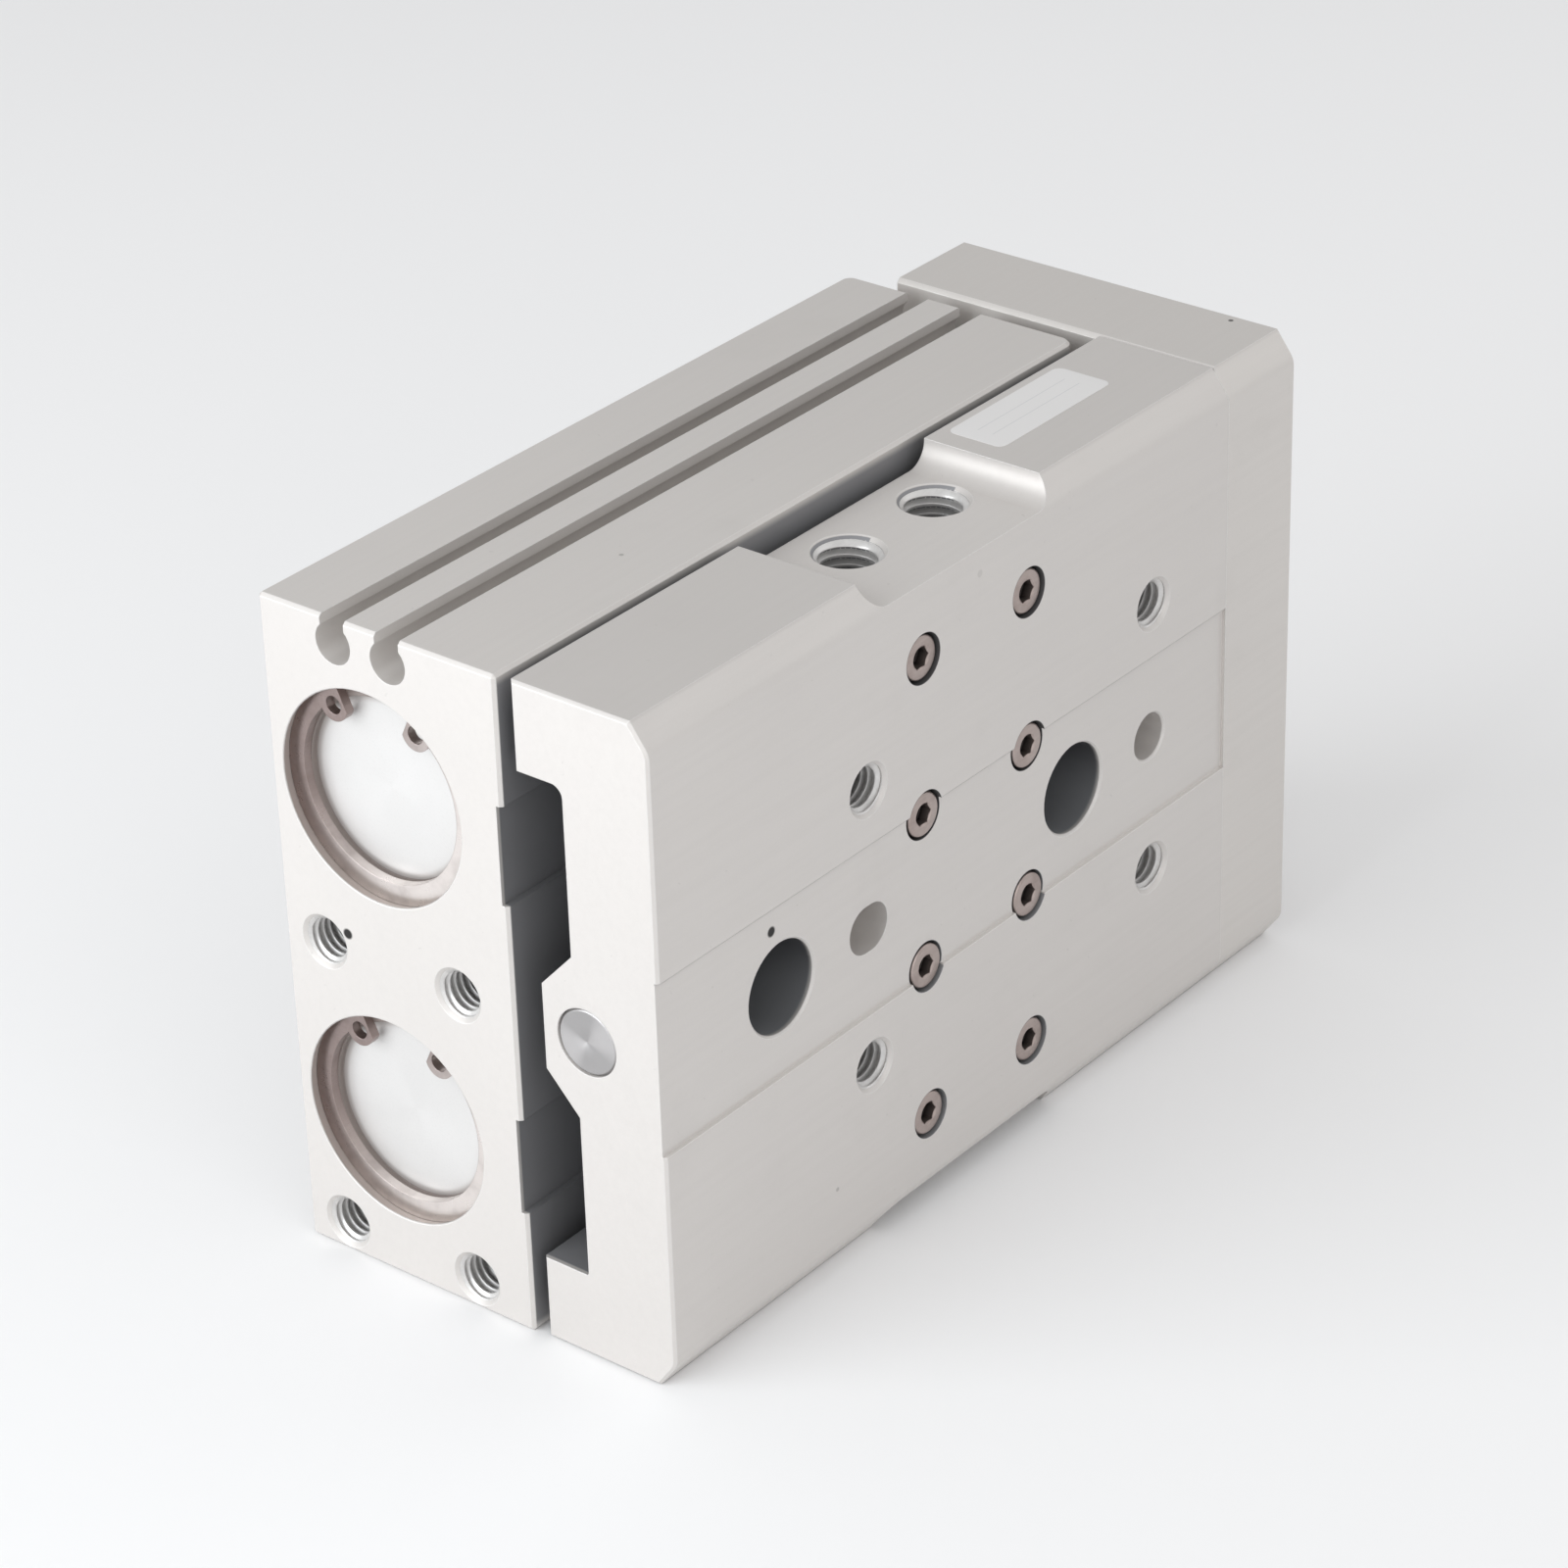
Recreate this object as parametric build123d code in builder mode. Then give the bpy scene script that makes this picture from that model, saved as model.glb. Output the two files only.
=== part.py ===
from build123d import *
import os
from math import cos, radians, sin

os.makedirs("parts", exist_ok=True)

# Pneumatic slide table, closed, standing on one long side. All sizes are in millimetres.
# X runs along the stroke, from the rear face to the end plate. Y runs from the table's main
# face to the body's back face. Z is up. The origin is below the middle, on the ground.
# Places along the three directions are named u, v and h: u is the distance from the body's
# rear face, v the distance from the body's back face and h the height above mid height.

# Body block
body_length = 106.0
body_thickness = 34.4
body_width = 84.5
body_edge_bevel = 0.4
body_front_corner_radius = 1.5

# Table and end plate
table_gap = 1.8
table_depth = 18.8
table_rear_step = 0.45
table_side_step = 0.05
table_corner_v = 2.5
table_corner_h = 3.4
table_corner_radius = 2.5
table_rear_bevel = 0.35
end_gap = 2.6
end_plate_thickness = 14.3
end_plate_back_step = 5.7
end_plate_edge_bevel = 0.4
end_plate_seam_bevel = 0.5
stroke = 10.0

# Fits
fit_clearance = 0.05
running_clearance = 0.05
loose_clearance = 0.3
thread_mouth_bevel = 0.45
hole_mouth_bevel = 0.25

# Twin cylinders
bore_radius = 12.5
bore_v = 15.0
bore_side_wall = 8.75
seat_radius = 13.0
bore_mouth_bevel = 0.3
ring_inset = 1.4
ring_thickness = 1.2
ring_groove_radius = 13.6
ring_inner_radius = 11.3
ring_inner_shift = 0.3
ring_gap_angle = 50.0
ring_lug_angle = 33.0
ring_lug_place = 11.1
ring_lug_radius = 2.0
ring_lug_hole_radius = 1.1
rear_flange_length = 6.5
rod_flange_length = 14.5
cover_dish_radius = 11.3
cover_dish_depth = 0.8
cover_nose_radius = 10.5
cover_nose_length = 2.5
o_ring_groove_width = 2.0
o_ring_section = 1.6
o_ring_setback = 1.5
bumper_thickness = 2.0
bumper_outer_radius = 9.5
bumper_inner_radius = 6.5

# Pistons and rods
piston_length = 26.0
piston_side_clearance = 0.2
piston_groove_radius = 10.2
piston_seal_width = 2.4
piston_seal_setback = 2.0
magnet_width = 5.0
magnet_place = 8.0
wear_ring_width = 4.0
wear_ring_place = 15.5
wear_ring_groove_radius = 11.2
spigot_radius = 4.0
nut_across_flats = 13.0
nut_height = 4.5
nut_recess_radius = 7.8
nut_recess_depth = 5.0
rod_radius = 5.0
rod_bush_radius = 6.5
rod_seal_radius = 8.0
rod_seal_width = 3.2
stop_tube_radius = 8.0
rod_socket_depth = 3.0
rod_socket_radius = 5.4
rod_thread_depth = 14.0
float_hole_radius = 5.0
float_bush_radius = 4.8
float_bush_bore_radius = 3.2
float_bush_standout = 0.1
washer_radius = 6.3
washer_thickness = 1.2
washer_recess_radius = 6.75
washer_recess_depth = 7.6

# Air ports
rear_port_u = 12.7
front_port_set_back = 19.0
port_radius = 4.864
port_depth = 7.0
cross_drilling_radius = 2.0

# Sensor grooves
sensor_groove_v = (11.0, 19.0)
sensor_groove_neck = 3.5
sensor_groove_radius = 2.55
sensor_groove_depth = 5.7

# Guide rails
lane_offset = 20.0
rail_width = 12.0
rail_height = 7.4
rail_set_back = 12.0
rail_front_gap = 1.0
rail_seat_depth = 0.8
rail_seat_side_gap = 0.2
rail_end_bevel = 0.3
track_height = 4.6
track_side_offset = 6.35
ball_radius = 1.19
track_clearance = 0.1
rail_screw_pitch = 25.0
rail_screw_count = 4
rail_hole_radius = 1.75
rail_head_recess_radius = 3.0
rail_head_recess_depth = 4.5
rail_thread_depth = 4.3

# Carriages
carriage_u = 58.05
carriage_width = 27.0
carriage_block_length = 32.4
carriage_clearance_height = 2.4
carriage_height = 12.4
carriage_rail_clearance = 0.2
carriage_roof_clearance = 0.8
end_cap_length = 5.7
end_cap_inset = 0.2
end_seal_thickness = 0.8
return_hole_radius = 1.35
return_hole_height = 7.4
return_hole_offset = 10.0
balls_per_row = 12
ball_pitch = 2.45
carriage_screw_pitch = 20.0
carriage_thread_depth = 3.5
carriage_pocket_clearance = 0.3

# Table features
channel_half_outer = 31.3
channel_half_inner = 10.3
channel_depth = 6.6
channel_corner_radius = 1.5
channel_lower_corner_radius = 0.4
rib_half_width = 5.45
rib_set_back = 2.1
band_half_width = 11.0
band_depth = 0.45
access_hole_radius = 5.7
access_first_u = 21.9
column_pitch = 55.5
work_first_u = 37.65
work_spacing_h = 36.0
work_thread_depth = 8.0
dowel_radius = 3.0
dowel_slot_extra = 1.0
dowel_depth = 6.0
notch_length = 34.3
notch_u = 56.35
notch_depth = 3.1
notch_radius = 3.0
striker_u = 58.15
striker_pitch = 16.0
striker_v = 43.1
striker_thread_depth = 4.8
rear_pin_v = 44.4
rear_pin_radius = 4.2
rear_pin_depth = 12.0
rear_pin_set_back = 0.1

# Body mounting
body_hole_radius = 3.3
body_head_recess_radius = 5.5
body_head_recess_depth = 6.6
body_thread_depth = 14.0
rear_thread_v = 16.0
rear_thread_edge = 3.95
rear_thread_spacing_v = 20.0
rear_thread_spacing_h = 38.0
rear_thread_depth = 12.0

# End plate fixing
plate_screw_v = 48.4
plate_screw_edge = 8.25
plate_screw_pitch = 20.0
plate_thread_depth = 12.0
plate_work_v = 28.0
plate_work_spacing = 20.0
plate_work_depth = 10.0

# Screw sizes
m3_radius = 1.5
m3_head_radius = 2.75
m3_head_height = 3.0
m3_socket = 2.5
m3_recess_radius = 3.1
m3_recess_depth = 3.3
m6_radius = 3.0
m6_head_radius = 5.0
m6_head_height = 6.0
m6_socket = 5.0
m6_clearance_radius = 3.3
m6_recess_radius = 5.25
m6_recess_depth = 6.4
m8_radius = 4.0
socket_depth_share = 0.5
thread_end_clearance = 0.5

# Places that follow from the sizes above
mid_height = body_width / 2
table_half_width = mid_height - table_side_step
bore_offset = mid_height - bore_side_wall - bore_radius
table_inner_v = body_thickness + table_gap
main_face_v = table_inner_v + table_depth
seam_u = body_length + end_gap
overall_length = seam_u + end_plate_thickness
rear_x = -overall_length / 2
back_y = main_face_v / 2
band_face_v = main_face_v - band_depth
rail_base_v = body_thickness - rail_seat_depth
rail_top_v = rail_base_v + rail_height
rail_end_u = body_length - rail_front_gap
track_v = rail_base_v + track_height
track_radius = ball_radius + track_clearance
carriage_base_v = rail_base_v + carriage_clearance_height
carriage_top_v = rail_base_v + carriage_height
cover_inset = ring_inset + ring_thickness
rear_seat_depth = cover_inset + rear_flange_length
front_seat_depth = cover_inset + rod_flange_length
rear_cover_end_u = rear_seat_depth + cover_nose_length
rod_cover_start_u = body_length - front_seat_depth - cover_nose_length
piston_u = rear_cover_end_u + bumper_thickness + loose_clearance
piston_end_u = piston_u + piston_length
stop_tube_end_u = rod_cover_start_u - bumper_thickness - stroke - loose_clearance
rod_end_u = seam_u + rod_socket_depth
front_port_u = body_length - front_port_set_back
rear_thread_h = rear_thread_edge + rear_thread_spacing_h / 2 - mid_height

sides = (-1, 1)
names = {-1: "lower", 1: "upper"}
rearward = (-1, 0, 0)
forward = (1, 0, 0)
to_table = (0, -1, 0)
to_back = (0, 1, 0)
upward = (0, 0, 1)
downward = (0, 0, -1)
rail_middle_u = (rail_set_back + rail_end_u) / 2
rail_screw_first_u = rail_middle_u - (rail_screw_count - 1) * rail_screw_pitch / 2
rail_screw_us = [rail_screw_first_u + i * rail_screw_pitch for i in range(rail_screw_count)]
carriage_screw_us = [carriage_u + side * carriage_screw_pitch / 2 for side in sides]
access_us = [access_first_u, access_first_u + column_pitch]
work_us = [work_first_u, work_first_u + column_pitch]
outer_screw_h = mid_height - plate_screw_edge
plate_screw_hs = [
    side * h for side in sides for h in (outer_screw_h, outer_screw_h - plate_screw_pitch)
]


def section(u, h=0.0):
    """Plane across the stroke at u and h. Its axes are v and height, and it faces the rear."""
    return Plane(origin=(rear_x + u, back_y, mid_height + h), x_dir=(0, -1, 0), z_dir=rearward)


def layer(v, h=0.0):
    """Plane along the table at v and h. Its axes are u and height, and it faces the main face."""
    return Plane(origin=(rear_x, back_y - v, mid_height + h), x_dir=(1, 0, 0), z_dir=to_table)


def facing(direction, points):
    """Planes at the given (u, v, h) points that face one direction, for holes and screws."""
    return [Plane((rear_x + u, back_y - v, mid_height + h), z_dir=direction) for u, v, h in points]


def tapped_hole(radius, depth):
    """Hole at the thread's full size with a bevelled mouth."""
    CounterSinkHole(radius, radius + thread_mouth_bevel, depth, counter_sink_angle=90)


def socket_screw(head_radius, head_height, shank_radius, shank_length, across_flats):
    """Socket screw whose head top lies on the XY plane and whose shank points down."""
    with BuildPart() as screw:
        with BuildSketch():
            Circle(head_radius)
        extrude(amount=-head_height)
        with BuildSketch(Plane.XY.offset(-head_height)):
            Circle(shank_radius - fit_clearance)
        extrude(amount=-shank_length)
        with BuildSketch():
            RegularPolygon(across_flats / 2, side_count=6, major_radius=False)
        extrude(amount=-head_height * socket_depth_share, mode=Mode.SUBTRACT)
    return screw.part


def ring(start_u, length, outer_radius, inner_radius, h):
    """Plain ring on a cylinder's axis that starts at start_u and runs forward."""
    with BuildPart() as plain_ring:
        with BuildSketch(section(start_u, h)):
            with Locations((bore_v, 0)):
                Circle(outer_radius)
                Circle(inner_radius, mode=Mode.SUBTRACT)
        extrude(amount=-length)
    return plain_ring.part


def moving_outline(inner_v):
    """Outline of the table or end plate from inner_v to the main face, drawn on a section."""
    with BuildSketch() as outline:
        with BuildLine():
            Polyline(
                (inner_v, 0),
                (inner_v, table_half_width),
                (main_face_v - table_corner_v, table_half_width),
                (main_face_v, table_half_width - table_corner_h),
                (main_face_v, 0),
            )
            mirror(about=Plane.XZ)
        make_face()
        main_face_corners = outline.vertices().group_by(Axis.X)[-1]
        fillet(main_face_corners, radius=table_corner_radius)
    return outline.sketch


def finish(piece, name):
    """Label a piece and write its STEP file."""
    piece.part.label = name
    export_step(piece.part, f"parts/{name}.step")


# Cylinder body: the block with both bores, the rail seats and the sensor grooves
with BuildPart() as cylinder_body:
    with BuildSketch(section(0)):
        with Locations((body_thickness / 2, 0)):
            Rectangle(body_thickness, body_width)
    extrude(amount=-body_length)
    front_corners = cylinder_body.edges().filter_by(Axis.Z).group_by(Axis.X)[-1]
    fillet(front_corners, radius=body_front_corner_radius)
    rear_outline = cylinder_body.faces().sort_by(Axis.X)[0].edges()
    long_edges = cylinder_body.edges().filter_by(Axis.X)
    chamfer(rear_outline + long_edges, length=body_edge_bevel)

    with BuildSketch(layer(body_thickness)):
        with Locations(*[(body_length / 2, side * lane_offset) for side in sides]):
            Rectangle(body_length, rail_width + 2 * rail_seat_side_gap)
    extrude(amount=-rail_seat_depth, mode=Mode.SUBTRACT)

    groove_centre_h = mid_height - sensor_groove_depth + sensor_groove_radius
    with BuildSketch(section(0)):
        with Locations(*[(v, groove_centre_h) for v in sensor_groove_v]):
            Circle(sensor_groove_radius)
        with Locations(*[(v, mid_height) for v in sensor_groove_v]):
            Rectangle(sensor_groove_neck, 2 * (mid_height - groove_centre_h))
    extrude(amount=-body_length, mode=Mode.SUBTRACT)

    with Locations(*facing(rearward, [(0, bore_v, side * bore_offset) for side in sides])):
        CounterBoreHole(bore_radius, seat_radius, rear_seat_depth, body_length)
    with Locations(*facing(forward, [(body_length, bore_v, side * bore_offset) for side in sides])):
        Hole(seat_radius, front_seat_depth)
    mouths = cylinder_body.edges().filter_by(GeomType.CIRCLE).filter_by(
        lambda edge: abs(edge.radius - seat_radius) < fit_clearance
    ).group_by(Axis.X)
    chamfer(mouths[0] + mouths[-1], length=bore_mouth_bevel)
    groove_starts = (ring_inset, body_length - ring_inset - ring_thickness - fit_clearance)
    groove_points = [(u, bore_v, side * bore_offset) for side in sides for u in groove_starts]
    with Locations(*facing(rearward, groove_points)):
        Hole(ring_groove_radius, ring_thickness + fit_clearance)

    port_points = [(u, bore_v, -mid_height) for u in (rear_port_u, front_port_u)]
    with Locations(*facing(downward, port_points)):
        CounterBoreHole(cross_drilling_radius, port_radius, port_depth, mid_height + bore_offset)
    with Locations(*facing(to_table, [(u, body_thickness, 0) for u in access_us])):
        CounterBoreHole(
            body_hole_radius, body_head_recess_radius, body_head_recess_depth, body_thickness
        )
    with Locations(*facing(to_back, [(u, 0, 0) for u in access_us])):
        tapped_hole(m8_radius, body_thread_depth)
    rear_thread_points = [
        (
            0,
            rear_thread_v + across * rear_thread_spacing_v / 2,
            rear_thread_h + up * rear_thread_spacing_h / 2,
        )
        for across in sides
        for up in sides
    ]
    with Locations(*facing(rearward, rear_thread_points)):
        tapped_hole(m6_radius, rear_thread_depth)
    with Locations(*facing(to_back, [(work_us[0], 0, 0)])):
        Hole(dowel_radius, dowel_depth)
    with BuildSketch(layer(0)):
        with Locations((work_us[1], 0)):
            SlotOverall(2 * dowel_radius + dowel_slot_extra, 2 * dowel_radius)
    extrude(amount=dowel_depth, mode=Mode.SUBTRACT)
    rail_thread_points = [
        (u, rail_base_v, side * lane_offset) for side in sides for u in rail_screw_us
    ]
    with Locations(*facing(to_table, rail_thread_points)):
        Hole(m3_radius, rail_thread_depth)
finish(cylinder_body, "cylinder_body")

# Guide rails, each with a ball track along both flanks
for side in sides:
    with BuildPart() as guide_rail:
        with BuildSketch(section(rail_set_back, side * lane_offset)):
            with Locations((rail_base_v + rail_height / 2, 0)):
                Rectangle(rail_height, rail_width)
            with Locations(*[(track_v, flank * track_side_offset) for flank in sides]):
                Circle(track_radius, mode=Mode.SUBTRACT)
        extrude(amount=-(rail_end_u - rail_set_back))
        top_face = guide_rail.faces().filter_by(Axis.Y).sort_by(Axis.Y)[0]
        chamfer(top_face.edges(), length=rail_end_bevel)
        rail_hole_points = [(u, rail_top_v, side * lane_offset) for u in rail_screw_us]
        with Locations(*facing(to_table, rail_hole_points)):
            CounterBoreHole(
                rail_hole_radius, rail_head_recess_radius, rail_head_recess_depth, rail_height
            )
    finish(guide_rail, f"guide_rail_{names[side]}")

# Rail screws
rail_screw = socket_screw(
    m3_head_radius,
    m3_head_height,
    m3_radius,
    rail_height - rail_head_recess_depth + rail_thread_depth - thread_end_clearance,
    m3_socket,
)
rail_head_top_v = rail_top_v - rail_head_recess_depth + m3_head_height
for side in sides:
    with BuildPart() as rail_screws:
        head_points = [(u, rail_head_top_v, side * lane_offset) for u in rail_screw_us]
        with Locations(*facing(to_table, head_points)):
            add(rail_screw)
    finish(rail_screws, f"rail_screws_{names[side]}")

# Covers at both ends of each bore
cover_radius = seat_radius - fit_clearance
o_ring_groove_floor = cover_radius - o_ring_section
o_ring_starts = (
    cover_inset + rear_flange_length - o_ring_setback - o_ring_groove_width,
    body_length - front_seat_depth + o_ring_setback,
)
for side in sides:
    bore_h = side * bore_offset
    with BuildPart() as rear_cover:
        with BuildSketch(section(cover_inset, bore_h)):
            with Locations((bore_v, 0)):
                Circle(cover_radius)
        extrude(amount=-rear_flange_length)
        with BuildSketch(section(rear_seat_depth, bore_h)):
            with Locations((bore_v, 0)):
                Circle(cover_nose_radius)
        extrude(amount=-cover_nose_length)
        with BuildSketch(section(o_ring_starts[0], bore_h)):
            with Locations((bore_v, 0)):
                Circle(seat_radius)
                Circle(o_ring_groove_floor, mode=Mode.SUBTRACT)
        extrude(amount=-o_ring_groove_width, mode=Mode.SUBTRACT)
        with Locations(*facing(rearward, [(cover_inset, bore_v, bore_h)])):
            Hole(cover_dish_radius, cover_dish_depth)
    finish(rear_cover, f"rear_cover_{names[side]}")

    with BuildPart() as rod_cover:
        with BuildSketch(section(body_length - front_seat_depth, bore_h)):
            with Locations((bore_v, 0)):
                Circle(cover_radius)
        extrude(amount=-rod_flange_length)
        with BuildSketch(section(rod_cover_start_u, bore_h)):
            with Locations((bore_v, 0)):
                Circle(cover_nose_radius)
        extrude(amount=-cover_nose_length)
        with BuildSketch(section(o_ring_starts[1], bore_h)):
            with Locations((bore_v, 0)):
                Circle(seat_radius)
                Circle(o_ring_groove_floor, mode=Mode.SUBTRACT)
        extrude(amount=-o_ring_groove_width, mode=Mode.SUBTRACT)
        with Locations(*facing(forward, [(body_length - cover_inset, bore_v, bore_h)])):
            CounterBoreHole(
                rod_bush_radius,
                rod_seal_radius,
                rod_seal_width,
                rod_flange_length + cover_nose_length,
            )
    finish(rod_cover, f"rod_cover_{names[side]}")

    with BuildPart() as retaining_rings:
        for start_u in (ring_inset, body_length - ring_inset - ring_thickness):
            with BuildSketch(section(start_u, bore_h)):
                with Locations((bore_v, 0)):
                    Circle(ring_groove_radius - fit_clearance)
                    with Locations((0, ring_inner_shift)):
                        Circle(ring_inner_radius, mode=Mode.SUBTRACT)
                    lug_places = [
                        (
                            flank * ring_lug_place * sin(radians(ring_lug_angle)),
                            ring_lug_place * cos(radians(ring_lug_angle)),
                        )
                        for flank in sides
                    ]
                    with Locations(*lug_places):
                        Circle(ring_lug_radius)
                    with Locations(*lug_places):
                        Circle(ring_lug_hole_radius, mode=Mode.SUBTRACT)
                    gap_reach = 2 * ring_groove_radius
                    gap_half = gap_reach * sin(radians(ring_gap_angle / 2))
                    gap_top = gap_reach * cos(radians(ring_gap_angle / 2))
                    gap_corners = [(0, 0), (gap_half, gap_top), (-gap_half, gap_top)]
                    Polygon(*gap_corners, align=None, mode=Mode.SUBTRACT)
            extrude(amount=-ring_thickness)
    finish(retaining_rings, f"retaining_rings_{names[side]}")

# Seals, bushes and bumpers that stay with the body
with BuildPart() as cover_o_rings:
    for side in sides:
        for start_u in o_ring_starts:
            add(
                ring(
                    start_u + (o_ring_groove_width - o_ring_section) / 2,
                    o_ring_section,
                    cover_radius,
                    o_ring_groove_floor + fit_clearance,
                    side * bore_offset,
                )
            )
finish(cover_o_rings, "cover_o_rings")

with BuildPart() as bumpers:
    for side in sides:
        for start_u in (rear_cover_end_u, rod_cover_start_u - bumper_thickness):
            add(
                ring(
                    start_u,
                    bumper_thickness,
                    bumper_outer_radius,
                    bumper_inner_radius,
                    side * bore_offset,
                )
            )
finish(bumpers, "bumpers")

rod_seal_start_u = body_length - cover_inset - rod_seal_width
for side in sides:
    with BuildPart() as rod_bush:
        add(
            ring(
                rod_cover_start_u,
                rod_seal_start_u - rod_cover_start_u,
                rod_bush_radius - fit_clearance,
                rod_radius + running_clearance,
                side * bore_offset,
            )
        )
    finish(rod_bush, f"rod_bush_{names[side]}")
with BuildPart() as rod_seals:
    for side in sides:
        add(
            ring(
                rod_seal_start_u,
                rod_seal_width,
                rod_seal_radius - fit_clearance,
                rod_radius + running_clearance,
                side * bore_offset,
            )
        )
finish(rod_seals, "rod_seals")

# Pistons, rods and what rides on them
piston_radius = bore_radius - piston_side_clearance
seal_starts = (
    piston_u + piston_seal_setback,
    piston_end_u - piston_seal_setback - piston_seal_width,
)
for side in sides:
    bore_h = side * bore_offset
    piston_grooves = [(start_u, piston_seal_width, piston_groove_radius) for start_u in seal_starts]
    piston_grooves.append((piston_u + magnet_place, magnet_width, piston_groove_radius))
    piston_grooves.append((piston_u + wear_ring_place, wear_ring_width, wear_ring_groove_radius))
    with BuildPart() as piston:
        with BuildSketch(section(piston_u, bore_h)):
            with Locations((bore_v, 0)):
                Circle(piston_radius)
        extrude(amount=-piston_length)
        with Locations(*facing(rearward, [(piston_u, bore_v, bore_h)])):
            CounterBoreHole(spigot_radius, nut_recess_radius, nut_recess_depth, piston_length)
        for start_u, width, floor_radius in piston_grooves:
            with BuildSketch(section(start_u, bore_h)):
                with Locations((bore_v, 0)):
                    Circle(bore_radius)
                    Circle(floor_radius, mode=Mode.SUBTRACT)
            extrude(amount=-width, mode=Mode.SUBTRACT)
    finish(piston, f"piston_{names[side]}")

    with BuildPart() as piston_rod:
        spigot_start_u = piston_u + nut_recess_depth - nut_height
        with BuildSketch(section(spigot_start_u, bore_h)):
            with Locations((bore_v, 0)):
                Circle(spigot_radius - fit_clearance)
        extrude(amount=-(piston_end_u - spigot_start_u))
        with BuildSketch(section(piston_end_u, bore_h)):
            with Locations((bore_v, 0)):
                Circle(rod_radius)
        extrude(amount=-(rod_end_u - piston_end_u))
        with Locations(*facing(forward, [(rod_end_u, bore_v, bore_h)])):
            Hole(m6_radius, rod_thread_depth)
    finish(piston_rod, f"piston_rod_{names[side]}")

    with BuildPart() as stop_tube:
        add(
            ring(
                piston_end_u,
                stop_tube_end_u - piston_end_u,
                stop_tube_radius,
                rod_radius + fit_clearance,
                bore_h,
            )
        )
    finish(stop_tube, f"stop_tube_{names[side]}")

with BuildPart() as piston_seals:
    for side in sides:
        for start_u in seal_starts:
            add(
                ring(
                    start_u + fit_clearance,
                    piston_seal_width - 2 * fit_clearance,
                    bore_radius - running_clearance,
                    piston_groove_radius + fit_clearance,
                    side * bore_offset,
                )
            )
finish(piston_seals, "piston_seals")

with BuildPart() as piston_magnets:
    for side in sides:
        add(
            ring(
                piston_u + magnet_place + fit_clearance,
                magnet_width - 2 * fit_clearance,
                piston_radius - fit_clearance,
                piston_groove_radius + fit_clearance,
                side * bore_offset,
            )
        )
finish(piston_magnets, "piston_magnets")

with BuildPart() as wear_rings:
    for side in sides:
        add(
            ring(
                piston_u + wear_ring_place + fit_clearance,
                wear_ring_width - 2 * fit_clearance,
                bore_radius - running_clearance,
                wear_ring_groove_radius + fit_clearance,
                side * bore_offset,
            )
        )
finish(wear_rings, "wear_rings")

with BuildPart() as piston_nuts:
    for side in sides:
        with BuildSketch(section(piston_u + nut_recess_depth - nut_height, side * bore_offset)):
            with Locations((bore_v, 0)):
                RegularPolygon(nut_across_flats / 2, side_count=6, major_radius=False)
                Circle(spigot_radius, mode=Mode.SUBTRACT)
        extrude(amount=-nut_height)
finish(piston_nuts, "piston_nuts")

# Floating joint between each rod and the end plate
washer_start_u = overall_length - washer_recess_depth + float_bush_standout
with BuildPart() as float_bushes:
    for side in sides:
        add(
            ring(
                rod_end_u,
                washer_start_u - rod_end_u,
                float_bush_radius,
                float_bush_bore_radius,
                side * bore_offset,
            )
        )
finish(float_bushes, "float_bushes")
with BuildPart() as rod_washers:
    for side in sides:
        add(
            ring(
                washer_start_u,
                washer_thickness,
                washer_radius,
                float_bush_bore_radius,
                side * bore_offset,
            )
        )
finish(rod_washers, "rod_washers")
rod_screw_top_u = washer_start_u + washer_thickness + m6_head_height
rod_screw = socket_screw(
    m6_head_radius,
    m6_head_height,
    m6_radius,
    washer_start_u + washer_thickness - rod_end_u + rod_thread_depth - thread_end_clearance,
    m6_socket,
)
with BuildPart() as rod_screws:
    with Locations(*facing(forward, [(rod_screw_top_u, bore_v, side * bore_offset) for side in sides])):
        add(rod_screw)
finish(rod_screws, "rod_screws")

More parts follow.
